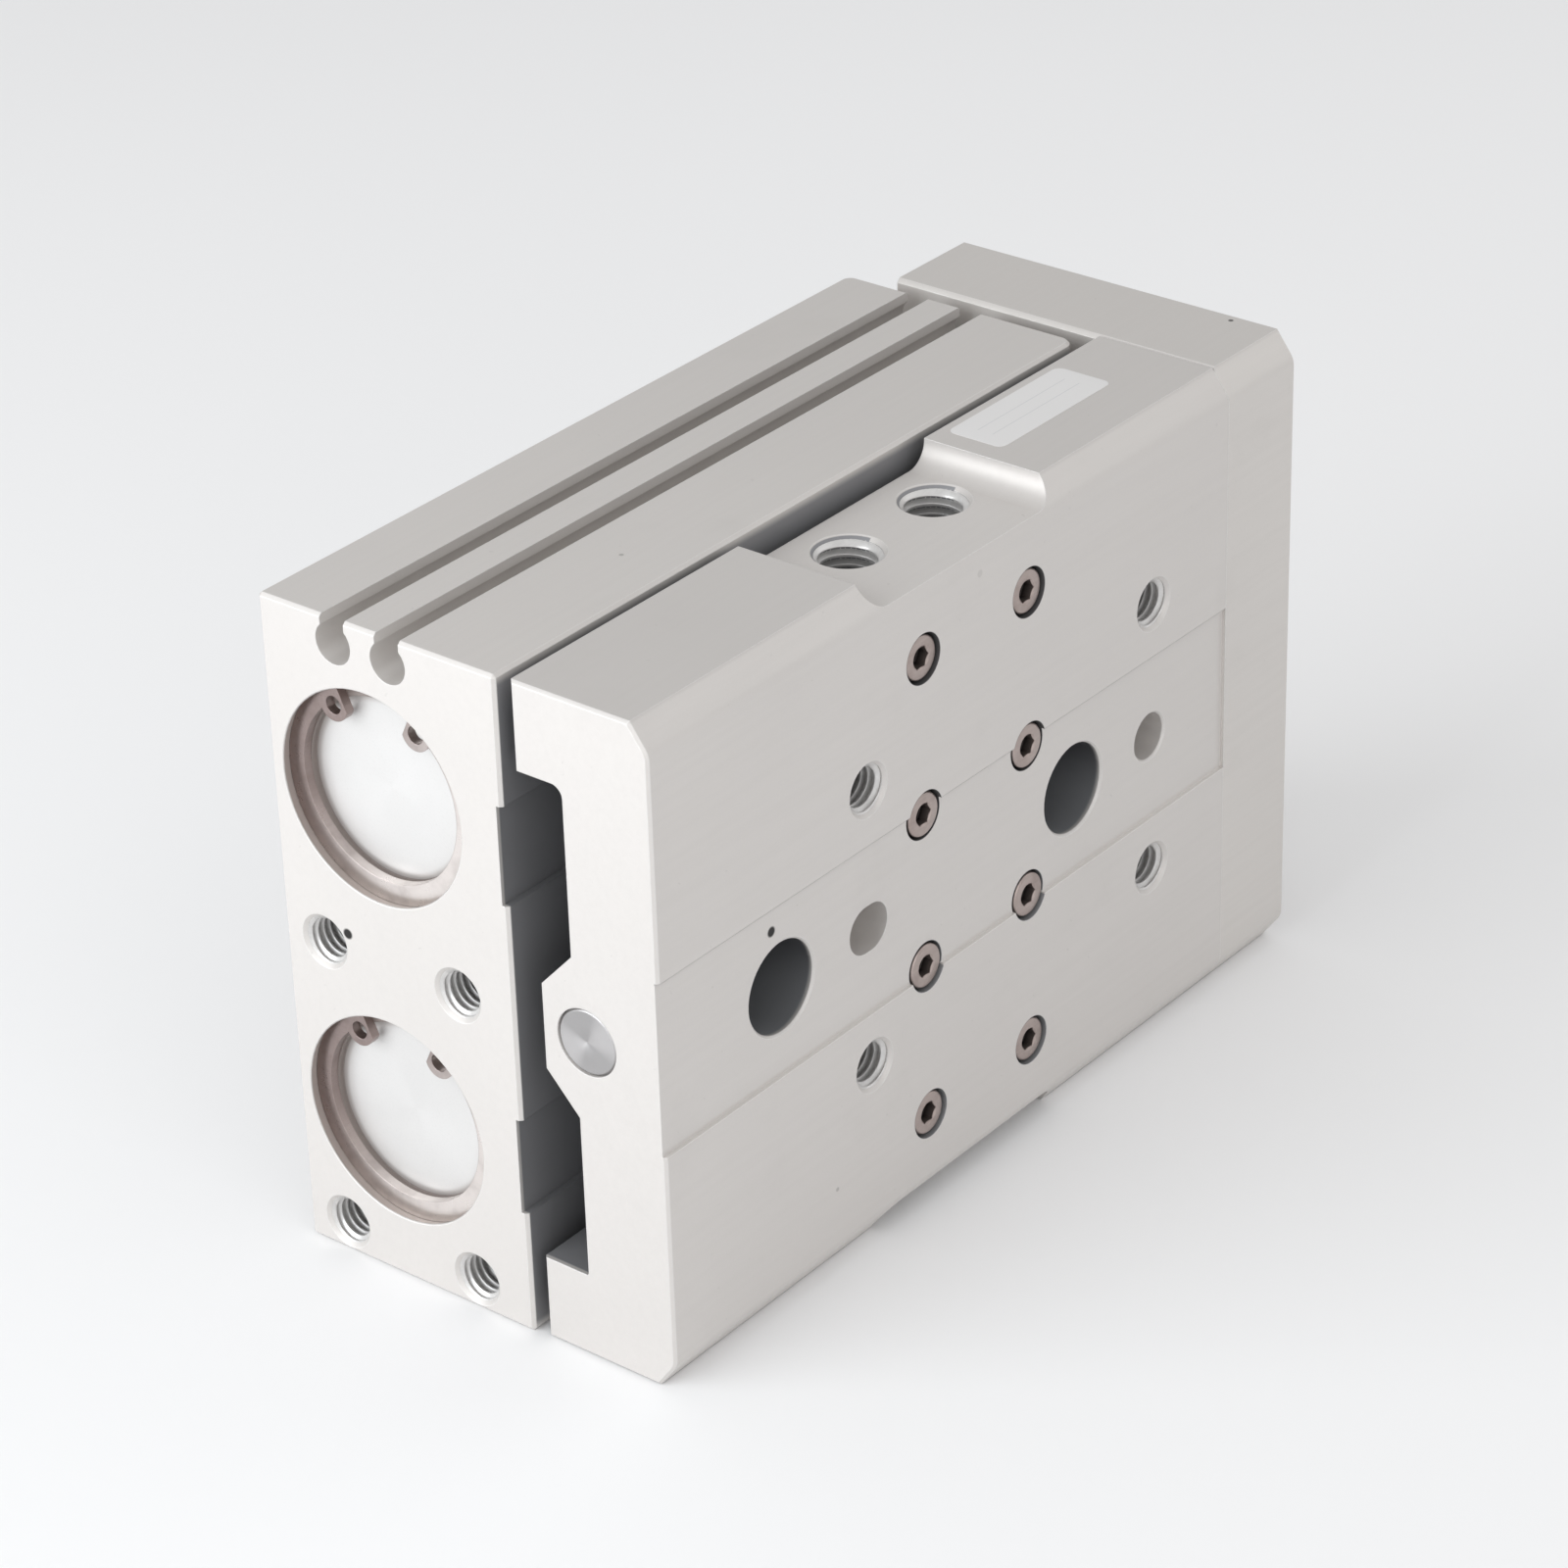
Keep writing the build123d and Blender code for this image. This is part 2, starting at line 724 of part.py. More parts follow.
# Slide table
with BuildPart() as slide_table:
    with BuildSketch(section(table_rear_step)):
        add(moving_outline(table_inner_v))
    extrude(amount=-(seam_u - table_rear_step))
    chamfer(slide_table.faces().sort_by(Axis.X)[0].edges(), length=table_rear_bevel)
    with BuildSketch(layer(band_face_v)):
        with Locations((overall_length / 2, 0)):
            Rectangle(overall_length, 2 * band_half_width)
    extrude(amount=band_depth, mode=Mode.SUBTRACT)

    channel_floor_v = table_inner_v + channel_depth
    channel_half = [
        (table_inner_v, channel_half_outer),
        (channel_floor_v, channel_half_outer),
        (channel_floor_v, channel_half_inner),
        (table_inner_v + rib_set_back, rib_half_width),
    ]
    channel_outline = channel_half + [(v, -h) for v, h in reversed(channel_half)]
    with BuildSketch(section(0)):
        Polygon(*channel_outline, align=None)
        floor_corners = vertices().group_by(Axis.X)[-1]
        fillet(floor_corners.sort_by(Axis.Y)[-1], radius=channel_corner_radius)
        floor_corners = vertices().group_by(Axis.X)[-1]
        fillet(floor_corners.sort_by(Axis.Y)[0], radius=channel_lower_corner_radius)
    extrude(amount=-overall_length, mode=Mode.SUBTRACT)

    with BuildSketch(layer(main_face_v)):
        with Locations(*[(notch_u, side * table_half_width) for side in sides]):
            RectangleRounded(notch_length, 2 * notch_depth, notch_radius)
    extrude(amount=-table_depth, mode=Mode.SUBTRACT)

    carriage_half_length = carriage_block_length / 2 + end_cap_length + end_seal_thickness
    pocket_length = 2 * (carriage_half_length + carriage_pocket_clearance)
    with BuildSketch(layer(table_inner_v)):
        with Locations(*[(carriage_u, side * lane_offset) for side in sides]):
            Rectangle(pocket_length, carriage_width + 2 * carriage_pocket_clearance)
    extrude(amount=carriage_top_v - table_inner_v, mode=Mode.SUBTRACT)

    carriage_screw_points = [
        (u, main_face_v, side * lane_offset + flank * carriage_screw_pitch / 2)
        for side in sides
        for flank in sides
        for u in carriage_screw_us
    ]
    with Locations(*facing(to_table, carriage_screw_points)):
        CounterBoreHole(m3_radius + fit_clearance, m3_recess_radius, m3_recess_depth, table_depth)
    with Locations(*facing(to_table, [(u, band_face_v, 0) for u in access_us])):
        CounterSinkHole(
            access_hole_radius, access_hole_radius + hole_mouth_bevel, counter_sink_angle=90
        )
    work_points = [(u, main_face_v, side * work_spacing_h / 2) for side in sides for u in work_us]
    with Locations(*facing(to_table, work_points)):
        tapped_hole(m6_radius, work_thread_depth)
    with Locations(*facing(to_table, [(work_us[1], band_face_v, 0)])):
        CounterSinkHole(
            dowel_radius, dowel_radius + hole_mouth_bevel, dowel_depth, counter_sink_angle=90
        )
    with BuildSketch(layer(band_face_v)):
        with Locations((work_us[0], 0)):
            SlotOverall(2 * dowel_radius + dowel_slot_extra, 2 * dowel_radius)
    extrude(amount=-dowel_depth, mode=Mode.SUBTRACT)

    for side, outward, middle_u in ((-1, downward, notch_u), (1, upward, striker_u)):
        floor_h = side * (table_half_width - notch_depth)
        striker_points = [(middle_u + end * striker_pitch / 2, striker_v, floor_h) for end in sides]
        with Locations(*facing(outward, striker_points)):
            tapped_hole(m8_radius, striker_thread_depth)
    with Locations(*facing(rearward, [(table_rear_step, rear_pin_v, 0)])):
        Hole(rear_pin_radius, rear_pin_depth)
    with Locations(*facing(forward, [(seam_u, plate_screw_v, h) for h in plate_screw_hs])):
        Hole(m6_radius, plate_thread_depth)
finish(slide_table, "slide_table")

with BuildPart() as rear_pin:
    pin_length = rear_pin_depth - rear_pin_set_back
    with BuildSketch(section(table_rear_step + rear_pin_set_back)):
        with Locations((rear_pin_v, 0)):
            Circle(rear_pin_radius - fit_clearance)
    extrude(amount=-pin_length)
finish(rear_pin, "rear_pin")

# End plate
with BuildPart() as end_plate:
    with BuildSketch(section(seam_u)):
        add(moving_outline(end_plate_back_step))
    extrude(amount=-end_plate_thickness)
    chamfer(end_plate.faces().sort_by(Axis.X)[-1].edges(), length=end_plate_edge_bevel)
    seam_edges = end_plate.faces().sort_by(Axis.X)[0].edges().filter_by(Axis.Y)
    chamfer(seam_edges, length=end_plate_seam_bevel)
    with Locations(*facing(rearward, [(seam_u, bore_v, side * bore_offset) for side in sides])):
        Hole(rod_socket_radius, rod_socket_depth)
    with Locations(*facing(forward, [(overall_length, bore_v, side * bore_offset) for side in sides])):
        CounterBoreHole(
            float_hole_radius, washer_recess_radius, washer_recess_depth, end_plate_thickness
        )
    with Locations(*facing(forward, [(overall_length, plate_screw_v, h) for h in plate_screw_hs])):
        CounterBoreHole(m6_clearance_radius, m6_recess_radius, m6_recess_depth, end_plate_thickness)
    plate_work_points = [
        (overall_length, plate_work_v + across * plate_work_spacing / 2, up * plate_work_spacing / 2)
        for across in sides
        for up in sides
    ]
    with Locations(*facing(forward, plate_work_points)):
        tapped_hole(m6_radius, plate_work_depth)
finish(end_plate, "end_plate")

plate_screw_top_u = overall_length - m6_recess_depth + m6_head_height
plate_screw = socket_screw(
    m6_head_radius,
    m6_head_height,
    m6_radius,
    end_plate_thickness - m6_recess_depth + plate_thread_depth - thread_end_clearance,
    m6_socket,
)
with BuildPart() as end_plate_screws:
    with Locations(*facing(forward, [(plate_screw_top_u, plate_screw_v, h) for h in plate_screw_hs])):
        add(plate_screw)
finish(end_plate_screws, "end_plate_screws")

# Carriages with their end caps, seals and balls
block_start_u = carriage_u - carriage_block_length / 2
block_end_u = carriage_u + carriage_block_length / 2
carriage_mid_v = (carriage_base_v + carriage_top_v) / 2
for side in sides:
    lane = side * lane_offset
    with BuildPart() as carriage:
        with BuildSketch(section(block_start_u, lane)):
            with Locations((carriage_mid_v, 0)):
                Rectangle(carriage_top_v - carriage_base_v, carriage_width)
            with Locations((carriage_base_v, 0)):
                Rectangle(
                    2 * (rail_top_v + carriage_roof_clearance - carriage_base_v),
                    rail_width + 2 * carriage_rail_clearance,
                    mode=Mode.SUBTRACT,
                )
            with Locations(*[(track_v, flank * track_side_offset) for flank in sides]):
                Circle(track_radius, mode=Mode.SUBTRACT)
            return_v = rail_base_v + return_hole_height
            with Locations(*[(return_v, flank * return_hole_offset) for flank in sides]):
                Circle(return_hole_radius, mode=Mode.SUBTRACT)
        extrude(amount=-carriage_block_length)
        thread_points = [
            (u, carriage_top_v, lane + flank * carriage_screw_pitch / 2)
            for flank in sides
            for u in carriage_screw_us
        ]
        with Locations(*facing(to_table, thread_points)):
            Hole(m3_radius, carriage_thread_depth)
    finish(carriage, f"carriage_{names[side]}")

    for place, start_u in (("rear", block_start_u - end_cap_length), ("front", block_end_u)):
        with BuildPart() as end_cap:
            with BuildSketch(section(start_u, lane)):
                with Locations((carriage_mid_v, 0)):
                    Rectangle(
                        carriage_top_v - carriage_base_v - 2 * end_cap_inset,
                        carriage_width - 2 * end_cap_inset,
                    )
                with Locations((carriage_base_v, 0)):
                    Rectangle(
                        2 * (rail_top_v + carriage_roof_clearance - carriage_base_v),
                        rail_width + 2 * loose_clearance,
                        mode=Mode.SUBTRACT,
                    )
            extrude(amount=-end_cap_length)
        finish(end_cap, f"end_cap_{names[side]}_{place}")

    with BuildPart() as end_seals:
        rear_seal_u = block_start_u - end_cap_length - end_seal_thickness
        for start_u in (rear_seal_u, block_end_u + end_cap_length):
            with BuildSketch(section(start_u, lane)):
                with Locations((carriage_mid_v, 0)):
                    Rectangle(
                        carriage_top_v - carriage_base_v - 2 * end_cap_inset,
                        carriage_width - 2 * end_cap_inset,
                    )
                with Locations((carriage_base_v, 0)):
                    Rectangle(
                        2 * (rail_top_v + loose_clearance - carriage_base_v),
                        rail_width + 2 * loose_clearance,
                        mode=Mode.SUBTRACT,
                    )
            extrude(amount=-end_seal_thickness)
    finish(end_seals, f"end_seals_{names[side]}")

    with BuildPart() as balls:
        row_start_u = carriage_u - (balls_per_row - 1) * ball_pitch / 2
        ball_points = [
            (row_start_u + i * ball_pitch, track_v, lane + flank * track_side_offset)
            for flank in sides
            for i in range(balls_per_row)
        ]
        with Locations(*facing(to_table, ball_points)):
            Sphere(ball_radius)
    finish(balls, f"balls_{names[side]}")

# Carriage screws through the table's main face
carriage_screw = socket_screw(
    m3_head_radius,
    m3_head_height,
    m3_radius,
    main_face_v - m3_recess_depth - carriage_top_v + carriage_thread_depth - thread_end_clearance,
    m3_socket,
)
screw_top_v = main_face_v - m3_recess_depth + m3_head_height
for side in sides:
    with BuildPart() as carriage_screws:
        top_points = [
            (u, screw_top_v, side * lane_offset + flank * carriage_screw_pitch / 2)
            for flank in sides
            for u in carriage_screw_us
        ]
        with Locations(*facing(to_table, top_points)):
            add(carriage_screw)
    finish(carriage_screws, f"carriage_screws_{names[side]}")
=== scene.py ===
import logging
from dataclasses import dataclass
from enum import Enum
from typing import Any, Mapping, Sequence, Union

import bmesh
import bpy
import numpy as np
from mathutils import Matrix, Vector


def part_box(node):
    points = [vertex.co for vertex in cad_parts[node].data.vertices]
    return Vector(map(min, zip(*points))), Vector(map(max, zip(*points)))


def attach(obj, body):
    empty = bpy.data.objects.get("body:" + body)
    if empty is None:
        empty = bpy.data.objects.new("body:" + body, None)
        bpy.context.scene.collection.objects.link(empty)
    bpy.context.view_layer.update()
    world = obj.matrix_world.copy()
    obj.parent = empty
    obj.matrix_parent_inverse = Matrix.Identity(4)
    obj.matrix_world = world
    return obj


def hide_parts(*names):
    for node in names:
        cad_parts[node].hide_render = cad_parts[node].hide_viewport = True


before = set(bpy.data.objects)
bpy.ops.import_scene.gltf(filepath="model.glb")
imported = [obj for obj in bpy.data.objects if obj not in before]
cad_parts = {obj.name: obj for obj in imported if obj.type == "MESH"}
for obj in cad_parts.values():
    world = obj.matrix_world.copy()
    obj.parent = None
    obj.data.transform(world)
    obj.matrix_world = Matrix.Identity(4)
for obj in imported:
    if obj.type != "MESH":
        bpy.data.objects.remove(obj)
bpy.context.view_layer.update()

LOG = logging.getLogger("slide_table")
MM = 0.001
FULL_TURN = 2 * np.pi

Array = np.ndarray
Colour = tuple[float, float, float]
Place = tuple[float, float, float]
SIDES = (-1, 1)
SIDE_NAMES = {-1: "lower", 1: "upper"}

# Sizes in millimetres that several parts share
BORE_V = 15.0
BORE_H = 21.0
GUIDE_H = 20.0
ACCESS_U = (21.9, 77.4)
MERGE_METRES = 2e-7

NEAR_BLACK = (0.02, 0.018, 0.018)


# Places and directions


@dataclass(frozen=True)
class Datum:
    """Turns places on the slide table into the frame's metres.

    u runs from the body's rear face along the stroke, v from its back face towards the
    table, and h up from mid height, all in millimetres.
    """

    rear_x: float
    back_y: float
    middle_z: float

    @classmethod
    def of_body(cls) -> "Datum":
        """Datum taken from the corners of the cylinder body."""
        low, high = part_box("cylinder_body")
        return cls(low.x, high.y, (low.z + high.z) / 2)

    def place(self, u: Any, v: Any, h: Any) -> Array:
        """Points in metres: x = rear + u, y = back - v, z = middle + h.

        Args:
            u: Distance or distances from the rear face.
            v: Distance or distances from the back face.
            h: Height or heights above mid height.

        Returns:
            Array whose last axis holds x, y and z.
        """
        x = self.rear_x + MM * np.asarray(u, float)
        y = self.back_y - MM * np.asarray(v, float)
        z = self.middle_z + MM * np.asarray(h, float)
        return np.stack(np.broadcast_arrays(x, y, z), axis=-1)


DATUM = Datum.of_body()


class Facing(Enum):
    """Direction that the mouth of a hole or the head of a screw faces."""

    REARWARD = (-1, 0, 0)
    FORWARD = (1, 0, 0)
    TO_TABLE = (0, -1, 0)
    TO_BACK = (0, 1, 0)
    UPWARD = (0, 0, 1)
    DOWNWARD = (0, 0, -1)

    def axes(self) -> Array:
        """Two directions across the axis and the outward one, right-handed.

        Returns:
            The three directions as rows.
        """
        outward = np.array(self.value, float)
        helper = np.array((0.0, 0.0, 1.0) if outward[2] == 0 else (1.0, 0.0, 0.0))
        first = np.cross(helper, outward)
        return np.stack([first, np.cross(outward, first), outward])

    def wrap(self, mouth: Place, radius: Array, angle: Array, depth: Array) -> Array:
        """Point = mouth + radius (cos angle, sin angle) across the axis - depth outward.

        Args:
            mouth: Centre of the mouth as u, v and h.
            radius: Radii in millimetres.
            angle: Angles in radians.
            depth: Depths below the mouth in millimetres.

        Returns:
            Grid of points in metres.
        """
        radius, angle, depth = np.broadcast_arrays(radius, angle, depth)
        local = np.stack([radius * np.cos(angle), radius * np.sin(angle), -depth], axis=-1)
        return DATUM.place(*mouth) + MM * (local @ self.axes())


# Meshes from whole arrays


class Shell:
    """Gathers grids of points into one closed mesh."""

    def __init__(self) -> None:
        """Start with no points."""
        self.points: list[Array] = []
        self.quads: list[Array] = []
        self.hollow_shades: list[Array] = []
        self.count = 0

    def add(
        self,
        grid: Array,
        wrap_rows: bool = False,
        wrap_columns: bool = False,
        hollow_shade: Array | None = None,
    ) -> None:
        """Join neighbours in a grid of points with four-sided faces.

        Args:
            grid: Points as rows by columns by 3.
            wrap_rows: Join the last row to the first.
            wrap_columns: Join the last column to the first.
            hollow_shade: Share of painted shade on each row, from 0 to 1.
        """
        rows, columns = grid.shape[:2]
        depth = np.zeros(rows) if hollow_shade is None else np.asarray(hollow_shade, float)
        self.hollow_shades.append(np.repeat(depth, columns))
        index = self.count + np.arange(rows * columns).reshape(rows, columns)
        if wrap_rows:
            index = np.vstack([index, index[:1]])
        if wrap_columns:
            index = np.hstack([index, index[:, :1]])
        corners = [index[:-1, :-1], index[:-1, 1:], index[1:, 1:], index[1:, :-1]]
        self.points.append(grid.reshape(-1, 3))
        self.quads.append(np.stack(corners, axis=-1).reshape(-1, 4))
        self.count += rows * columns

    def piece(self, name: str, smooth_angle: float = 32.0) -> bpy.types.Object:
        """Make the mesh, merge its doubles and turn its faces outwards.

        Args:
            name: Name of the new object.
            smooth_angle: Edges that turn by more than this many degrees stay sharp.

        Returns:
            The object, at the origin, with its place in its mesh.
        """
        points = np.concatenate(self.points).astype(np.float32)
        quads = np.concatenate(self.quads).astype(np.int32)
        mesh = bpy.data.meshes.new(name)
        mesh.vertices.add(len(points))
        mesh.vertices.foreach_set("co", points.ravel())
        mesh.loops.add(quads.size)
        mesh.loops.foreach_set("vertex_index", quads.ravel())
        mesh.polygons.add(len(quads))
        mesh.polygons.foreach_set("loop_start", np.arange(0, quads.size, 4, dtype=np.int32))
        mesh.update(calc_edges=True)
        hollow_shade = mesh.attributes.new("hollow_shade", "FLOAT", "POINT")
        hollow_shade.data.foreach_set("value", np.concatenate(self.hollow_shades).astype(np.float32))
        work = bmesh.new()
        work.from_mesh(mesh)
        bmesh.ops.remove_doubles(work, verts=work.verts, dist=MERGE_METRES)
        bmesh.ops.recalc_face_normals(work, faces=work.faces)
        work.to_mesh(mesh)
        work.free()
        mesh.polygons.foreach_set("use_smooth", np.ones(len(mesh.polygons), bool))
        mesh.set_sharp_from_angle(angle=np.radians(smooth_angle))
        piece = bpy.data.objects.new(name, mesh)
        bpy.context.scene.collection.objects.link(piece)
        return piece


def revolve(mouth: Place, facing: Facing, profile: Sequence[tuple], columns: int) -> Array:
    """Profile carried round an axis: each row is a circle of its radius at its depth.

    Args:
        mouth: Point on the axis as u, v and h.
        facing: Outward direction of the axis.
        profile: Pairs of radius and depth in millimetres.
        columns: Steps round the axis.

    Returns:
        Grid of points, one row for each pair.
    """
    pairs = np.array(profile, float)
    angle = np.linspace(0, FULL_TURN, columns, endpoint=False)[None, :]
    return facing.wrap(mouth, pairs[:, :1], angle, pairs[:, 1:])


def seat(
    piece: bpy.types.Object,
    body: str,
    finish: "Finish",
    nodes: Sequence[str] = (),
) -> None:
    """Give a piece its finish, the body that it rides on and the nodes that it stands for.

    Args:
        piece: The new piece.
        body: Name of the body that carries it.
        finish: Its surface finish.
        nodes: Nodes that it replaces.
    """
    piece.data.materials.append(finish.material())
    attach(piece, body)
    if nodes:
        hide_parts(*nodes)
    LOG.info("piece %s on %s, %d faces", piece.name, body, len(piece.data.polygons))


def dress(finish: "Finish", *nodes: str) -> None:
    """Give nodes of the frame a finish through their own material slots.

    Args:
        finish: Surface finish.
        nodes: Names of the nodes.
    """
    material = finish.material()
    for name in nodes:
        for material_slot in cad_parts[name].material_slots:
            material_slot.material = material
        LOG.info("node %s in %s", name, material.name)


# Shader graphs


@dataclass(frozen=True)
class Wire:
    """One output of a shader graph that takes part in Python arithmetic."""

    graph: "Graph"
    socket: bpy.types.NodeSocket

    def __add__(self, other: "Term") -> "Wire":
        """Sum."""
        return self.graph.combine("ADD", self, other)

    def __radd__(self, other: "Term") -> "Wire":
        """Sum with the wire on the right."""
        return self.graph.combine("ADD", other, self)

    def __sub__(self, other: "Term") -> "Wire":
        """Difference."""
        return self.graph.combine("SUBTRACT", self, other)

    def __rsub__(self, other: "Term") -> "Wire":
        """Difference with the wire on the right."""
        return self.graph.combine("SUBTRACT", other, self)

    def __mul__(self, other: "Term") -> "Wire":
        """Product."""
        return self.graph.combine("MULTIPLY", self, other)

    def __rmul__(self, other: "Term") -> "Wire":
        """Product with the wire on the right."""
        return self.graph.combine("MULTIPLY", other, self)

    def __abs__(self) -> "Wire":
        """Size without the sign."""
        return self.graph.apply("ABSOLUTE", self)


Term = Union[Wire, float, tuple]


class Graph:
    """Node tree of one material or world."""

    def __init__(self, tree: bpy.types.NodeTree) -> None:
        """Take over a tree and empty it.

        Args:
            tree: The node tree.
        """
        self.tree = tree
        tree.nodes.clear()

    def node(
        self,
        kind: str,
        settings: Mapping[str, Any] | None = None,
        sockets: Mapping[str, Any] | None = None,
        output: str = "",
    ) -> Wire:
        """Add one node.

        Args:
            kind: Node type.
            settings: Properties, which are set first.
            sockets: Values or wires by the socket's identifier.
            output: Identifier of the output wanted, the first by default.

        Returns:
            Wire from that output.
        """
        node = self.tree.nodes.new(kind)
        for name, value in (settings or {}).items():
            setattr(node, name, value)
        inputs = {socket.identifier: socket for socket in node.inputs}
        for name, value in (sockets or {}).items():
            socket = inputs[name]
            if isinstance(value, Wire):
                self.tree.links.new(value.socket, socket)
            elif socket.type == "RGBA":
                socket.default_value = (*value, 1.0)
            elif socket.type == "VECTOR" and not isinstance(value, tuple):
                socket.default_value = (value,) * 3
            else:
                socket.default_value = value
        outputs = {socket.identifier: socket for socket in node.outputs}
        if not outputs:
            return Wire(self, None)
        return Wire(self, outputs[output] if output else node.outputs[0])

    def combine(self, operation: str, first: Term, second: Term) -> Wire:
        """Join two terms: colours in Mix, vectors in Vector Math, numbers in Math.

        Args:
            operation: Name of the operation.
            first: Left term.
            second: Right term.

        Returns:
            Wire with the result.
        """
        kinds = {term.socket.type for term in (first, second) if isinstance(term, Wire)}
        if "RGBA" in kinds:
            settings = {"data_type": "RGBA", "blend_type": operation}
            sockets = {"Factor_Float": 1.0, "A_Color": first, "B_Color": second}
            return self.node("ShaderNodeMix", settings, sockets, "Result_Color")
        if "VECTOR" in kinds:
            sockets = {"Vector": first, "Vector_001": second}
            return self.node("ShaderNodeVectorMath", {"operation": operation}, sockets)
        sockets = {"Value": first, "Value_001": second}
        return self.node("ShaderNodeMath", {"operation": operation}, sockets)

    def apply(self, operation: str, value: Wire) -> Wire:
        """One number through a Math node."""
        return self.node("ShaderNodeMath", {"operation": operation}, {"Value": value})

    def position(self) -> Wire:
        """Object coordinates in millimetres."""
        return self.node("ShaderNodeTexCoord", output="Object") * (1 / MM)

    def split(self, vector: Wire) -> tuple[Wire, Wire, Wire]:
        """Take a vector apart.

        Args:
            vector: The vector.

        Returns:
            Its x, y and z.
        """
        first = self.node("ShaderNodeSeparateXYZ", sockets={"Vector": vector})
        x, y, z = (Wire(self, socket) for socket in first.socket.node.outputs)
        return x, y, z

    def station(self, position: Wire) -> tuple[Wire, Wire, Wire]:
        """Place in the datum's directions u, v and h, from its object coordinates."""
        x, y, z = self.split(position)
        return x - DATUM.rear_x / MM, DATUM.back_y / MM - y, z - DATUM.middle_z / MM

    def noise(self, vector: Wire, scale: float, detail: float = 2.0) -> Wire:
        """Smooth noise from 0 to 1.

        Args:
            vector: Place in millimetres.
            scale: Features per millimetre.
            detail: Finer layers.

        Returns:
            Wire with the noise.
        """
        sockets = {"Vector": vector, "Scale": scale, "Detail": detail}
        return self.node("ShaderNodeTexNoise", {"noise_dimensions": "3D"}, sockets)

    def fade(self, value: Wire, low: float, high: float) -> Wire:
        """0 below low, 1 above high and a smooth step between."""
        sockets = {"Value": value, "From Min": low, "From Max": high}
        return self.node("ShaderNodeMapRange", {"interpolation_type": "SMOOTHSTEP"}, sockets)

    def between(self, value: Wire, ends: tuple[float, float], soft: float) -> Wire:
        """1 between two ends and 0 outside, with a soft step just above each end."""
        low, high = ends
        return self.fade(value, low, low + soft) - self.fade(value, high, high + soft)

    def inside(self, distance: Wire, radius: float, soft: float = 0.05) -> Wire:
        """1 where a distance is under a radius, with a soft rim."""
        return 1.0 - self.fade(distance, radius, radius + soft)

    def mix(self, factor: Term, first: Any, second: Any) -> Wire:
        """Colour that goes from first to second with the factor."""
        sockets = {"Factor_Float": factor, "A_Color": first, "B_Color": second}
        return self.node("ShaderNodeMix", {"data_type": "RGBA"}, sockets, "Result_Color")

    def length(self, first: Wire, second: Wire) -> Wire:
        """Length of a flat vector: square root of the sum of squares.

        Args:
            first: Its first part.
            second: Its second part.

        Returns:
            Wire with the length.
        """
        flat = self.node("ShaderNodeCombineXYZ", sockets={"X": first, "Y": second})
        settings = {"operation": "LENGTH"}
        return self.node("ShaderNodeVectorMath", settings, {"Vector": flat}, "Value")

    def rounded_edges(
        self, radius: float, turns: tuple[float, float] = (0.004, 0.12)
    ) -> tuple[Wire, Wire]:
        """Softened normal near edges, and how far it turns from the face.

        Args:
            radius: Radius of the softened edge in millimetres.
            turns: One less the cosine of the turn where an edge starts and where it is full.

        Returns:
            The normal, and 0 on faces rising to 1 on edges.
        """
        soft = self.node("ShaderNodeBevel", {"samples": 4}, {"Radius": radius * MM})
        true = self.node("ShaderNodeNewGeometry", output="Normal")
        settings = {"operation": "DOT_PRODUCT"}
        sockets = {"Vector": soft, "Vector_001": true}
        cosine = self.node("ShaderNodeVectorMath", settings, sockets, "Value")
        return soft, self.fade(1.0 - cosine, *turns)

    def bump(
        self, height: Wire, depth: float, strength: float, normal: Wire | None = None
    ) -> Wire:
        """Normal shifted by a height.

        Args:
            height: Height from 0 to 1.
            depth: Millimetres for a height of 1.
            strength: Share of the effect.
            normal: Normal to start from.

        Returns:
            Wire with the new normal.
        """
        sockets: dict[str, Any] = {"Height": height, "Strength": strength}
        sockets["Distance"] = depth * MM
        if normal is not None:
            sockets["Normal"] = normal
        return self.node("ShaderNodeBump", sockets=sockets)

    def surface(self, **sockets: Any) -> None:
        """End the graph in a Principled shader.

        Args:
            sockets: Values or wires, with spaces in names written as underscores.
        """
        named = {name.replace("_", " "): value for name, value in sockets.items()}
        shader = self.node("ShaderNodeBsdfPrincipled", sockets=named)
        self.node("ShaderNodeOutputMaterial", sockets={"Surface": shader})


# Finishes


@dataclass(frozen=True)
class Grain:
    """Noise pattern: features per millimetre, finer layers and squeeze along the stroke."""

    scale: float
    detail: float = 3.0
    squeeze: float = 1.0

    def on(self, graph: Graph, position: Wire) -> Wire:
        """Draw the pattern.

        Args:
            graph: Node graph of the material.
            position: Place in millimetres.

        Returns:
            Noise from 0 to 1.
        """
        if self.squeeze != 1.0:
            position = position * (self.squeeze, 1.0, 1.0)
        return graph.noise(position, self.scale, self.detail)


@dataclass(frozen=True)
class Veil:
    """Share of a lighter or darker tone where a pattern rises from low to high."""

    low: float
    high: float
    share: float
    tone: float


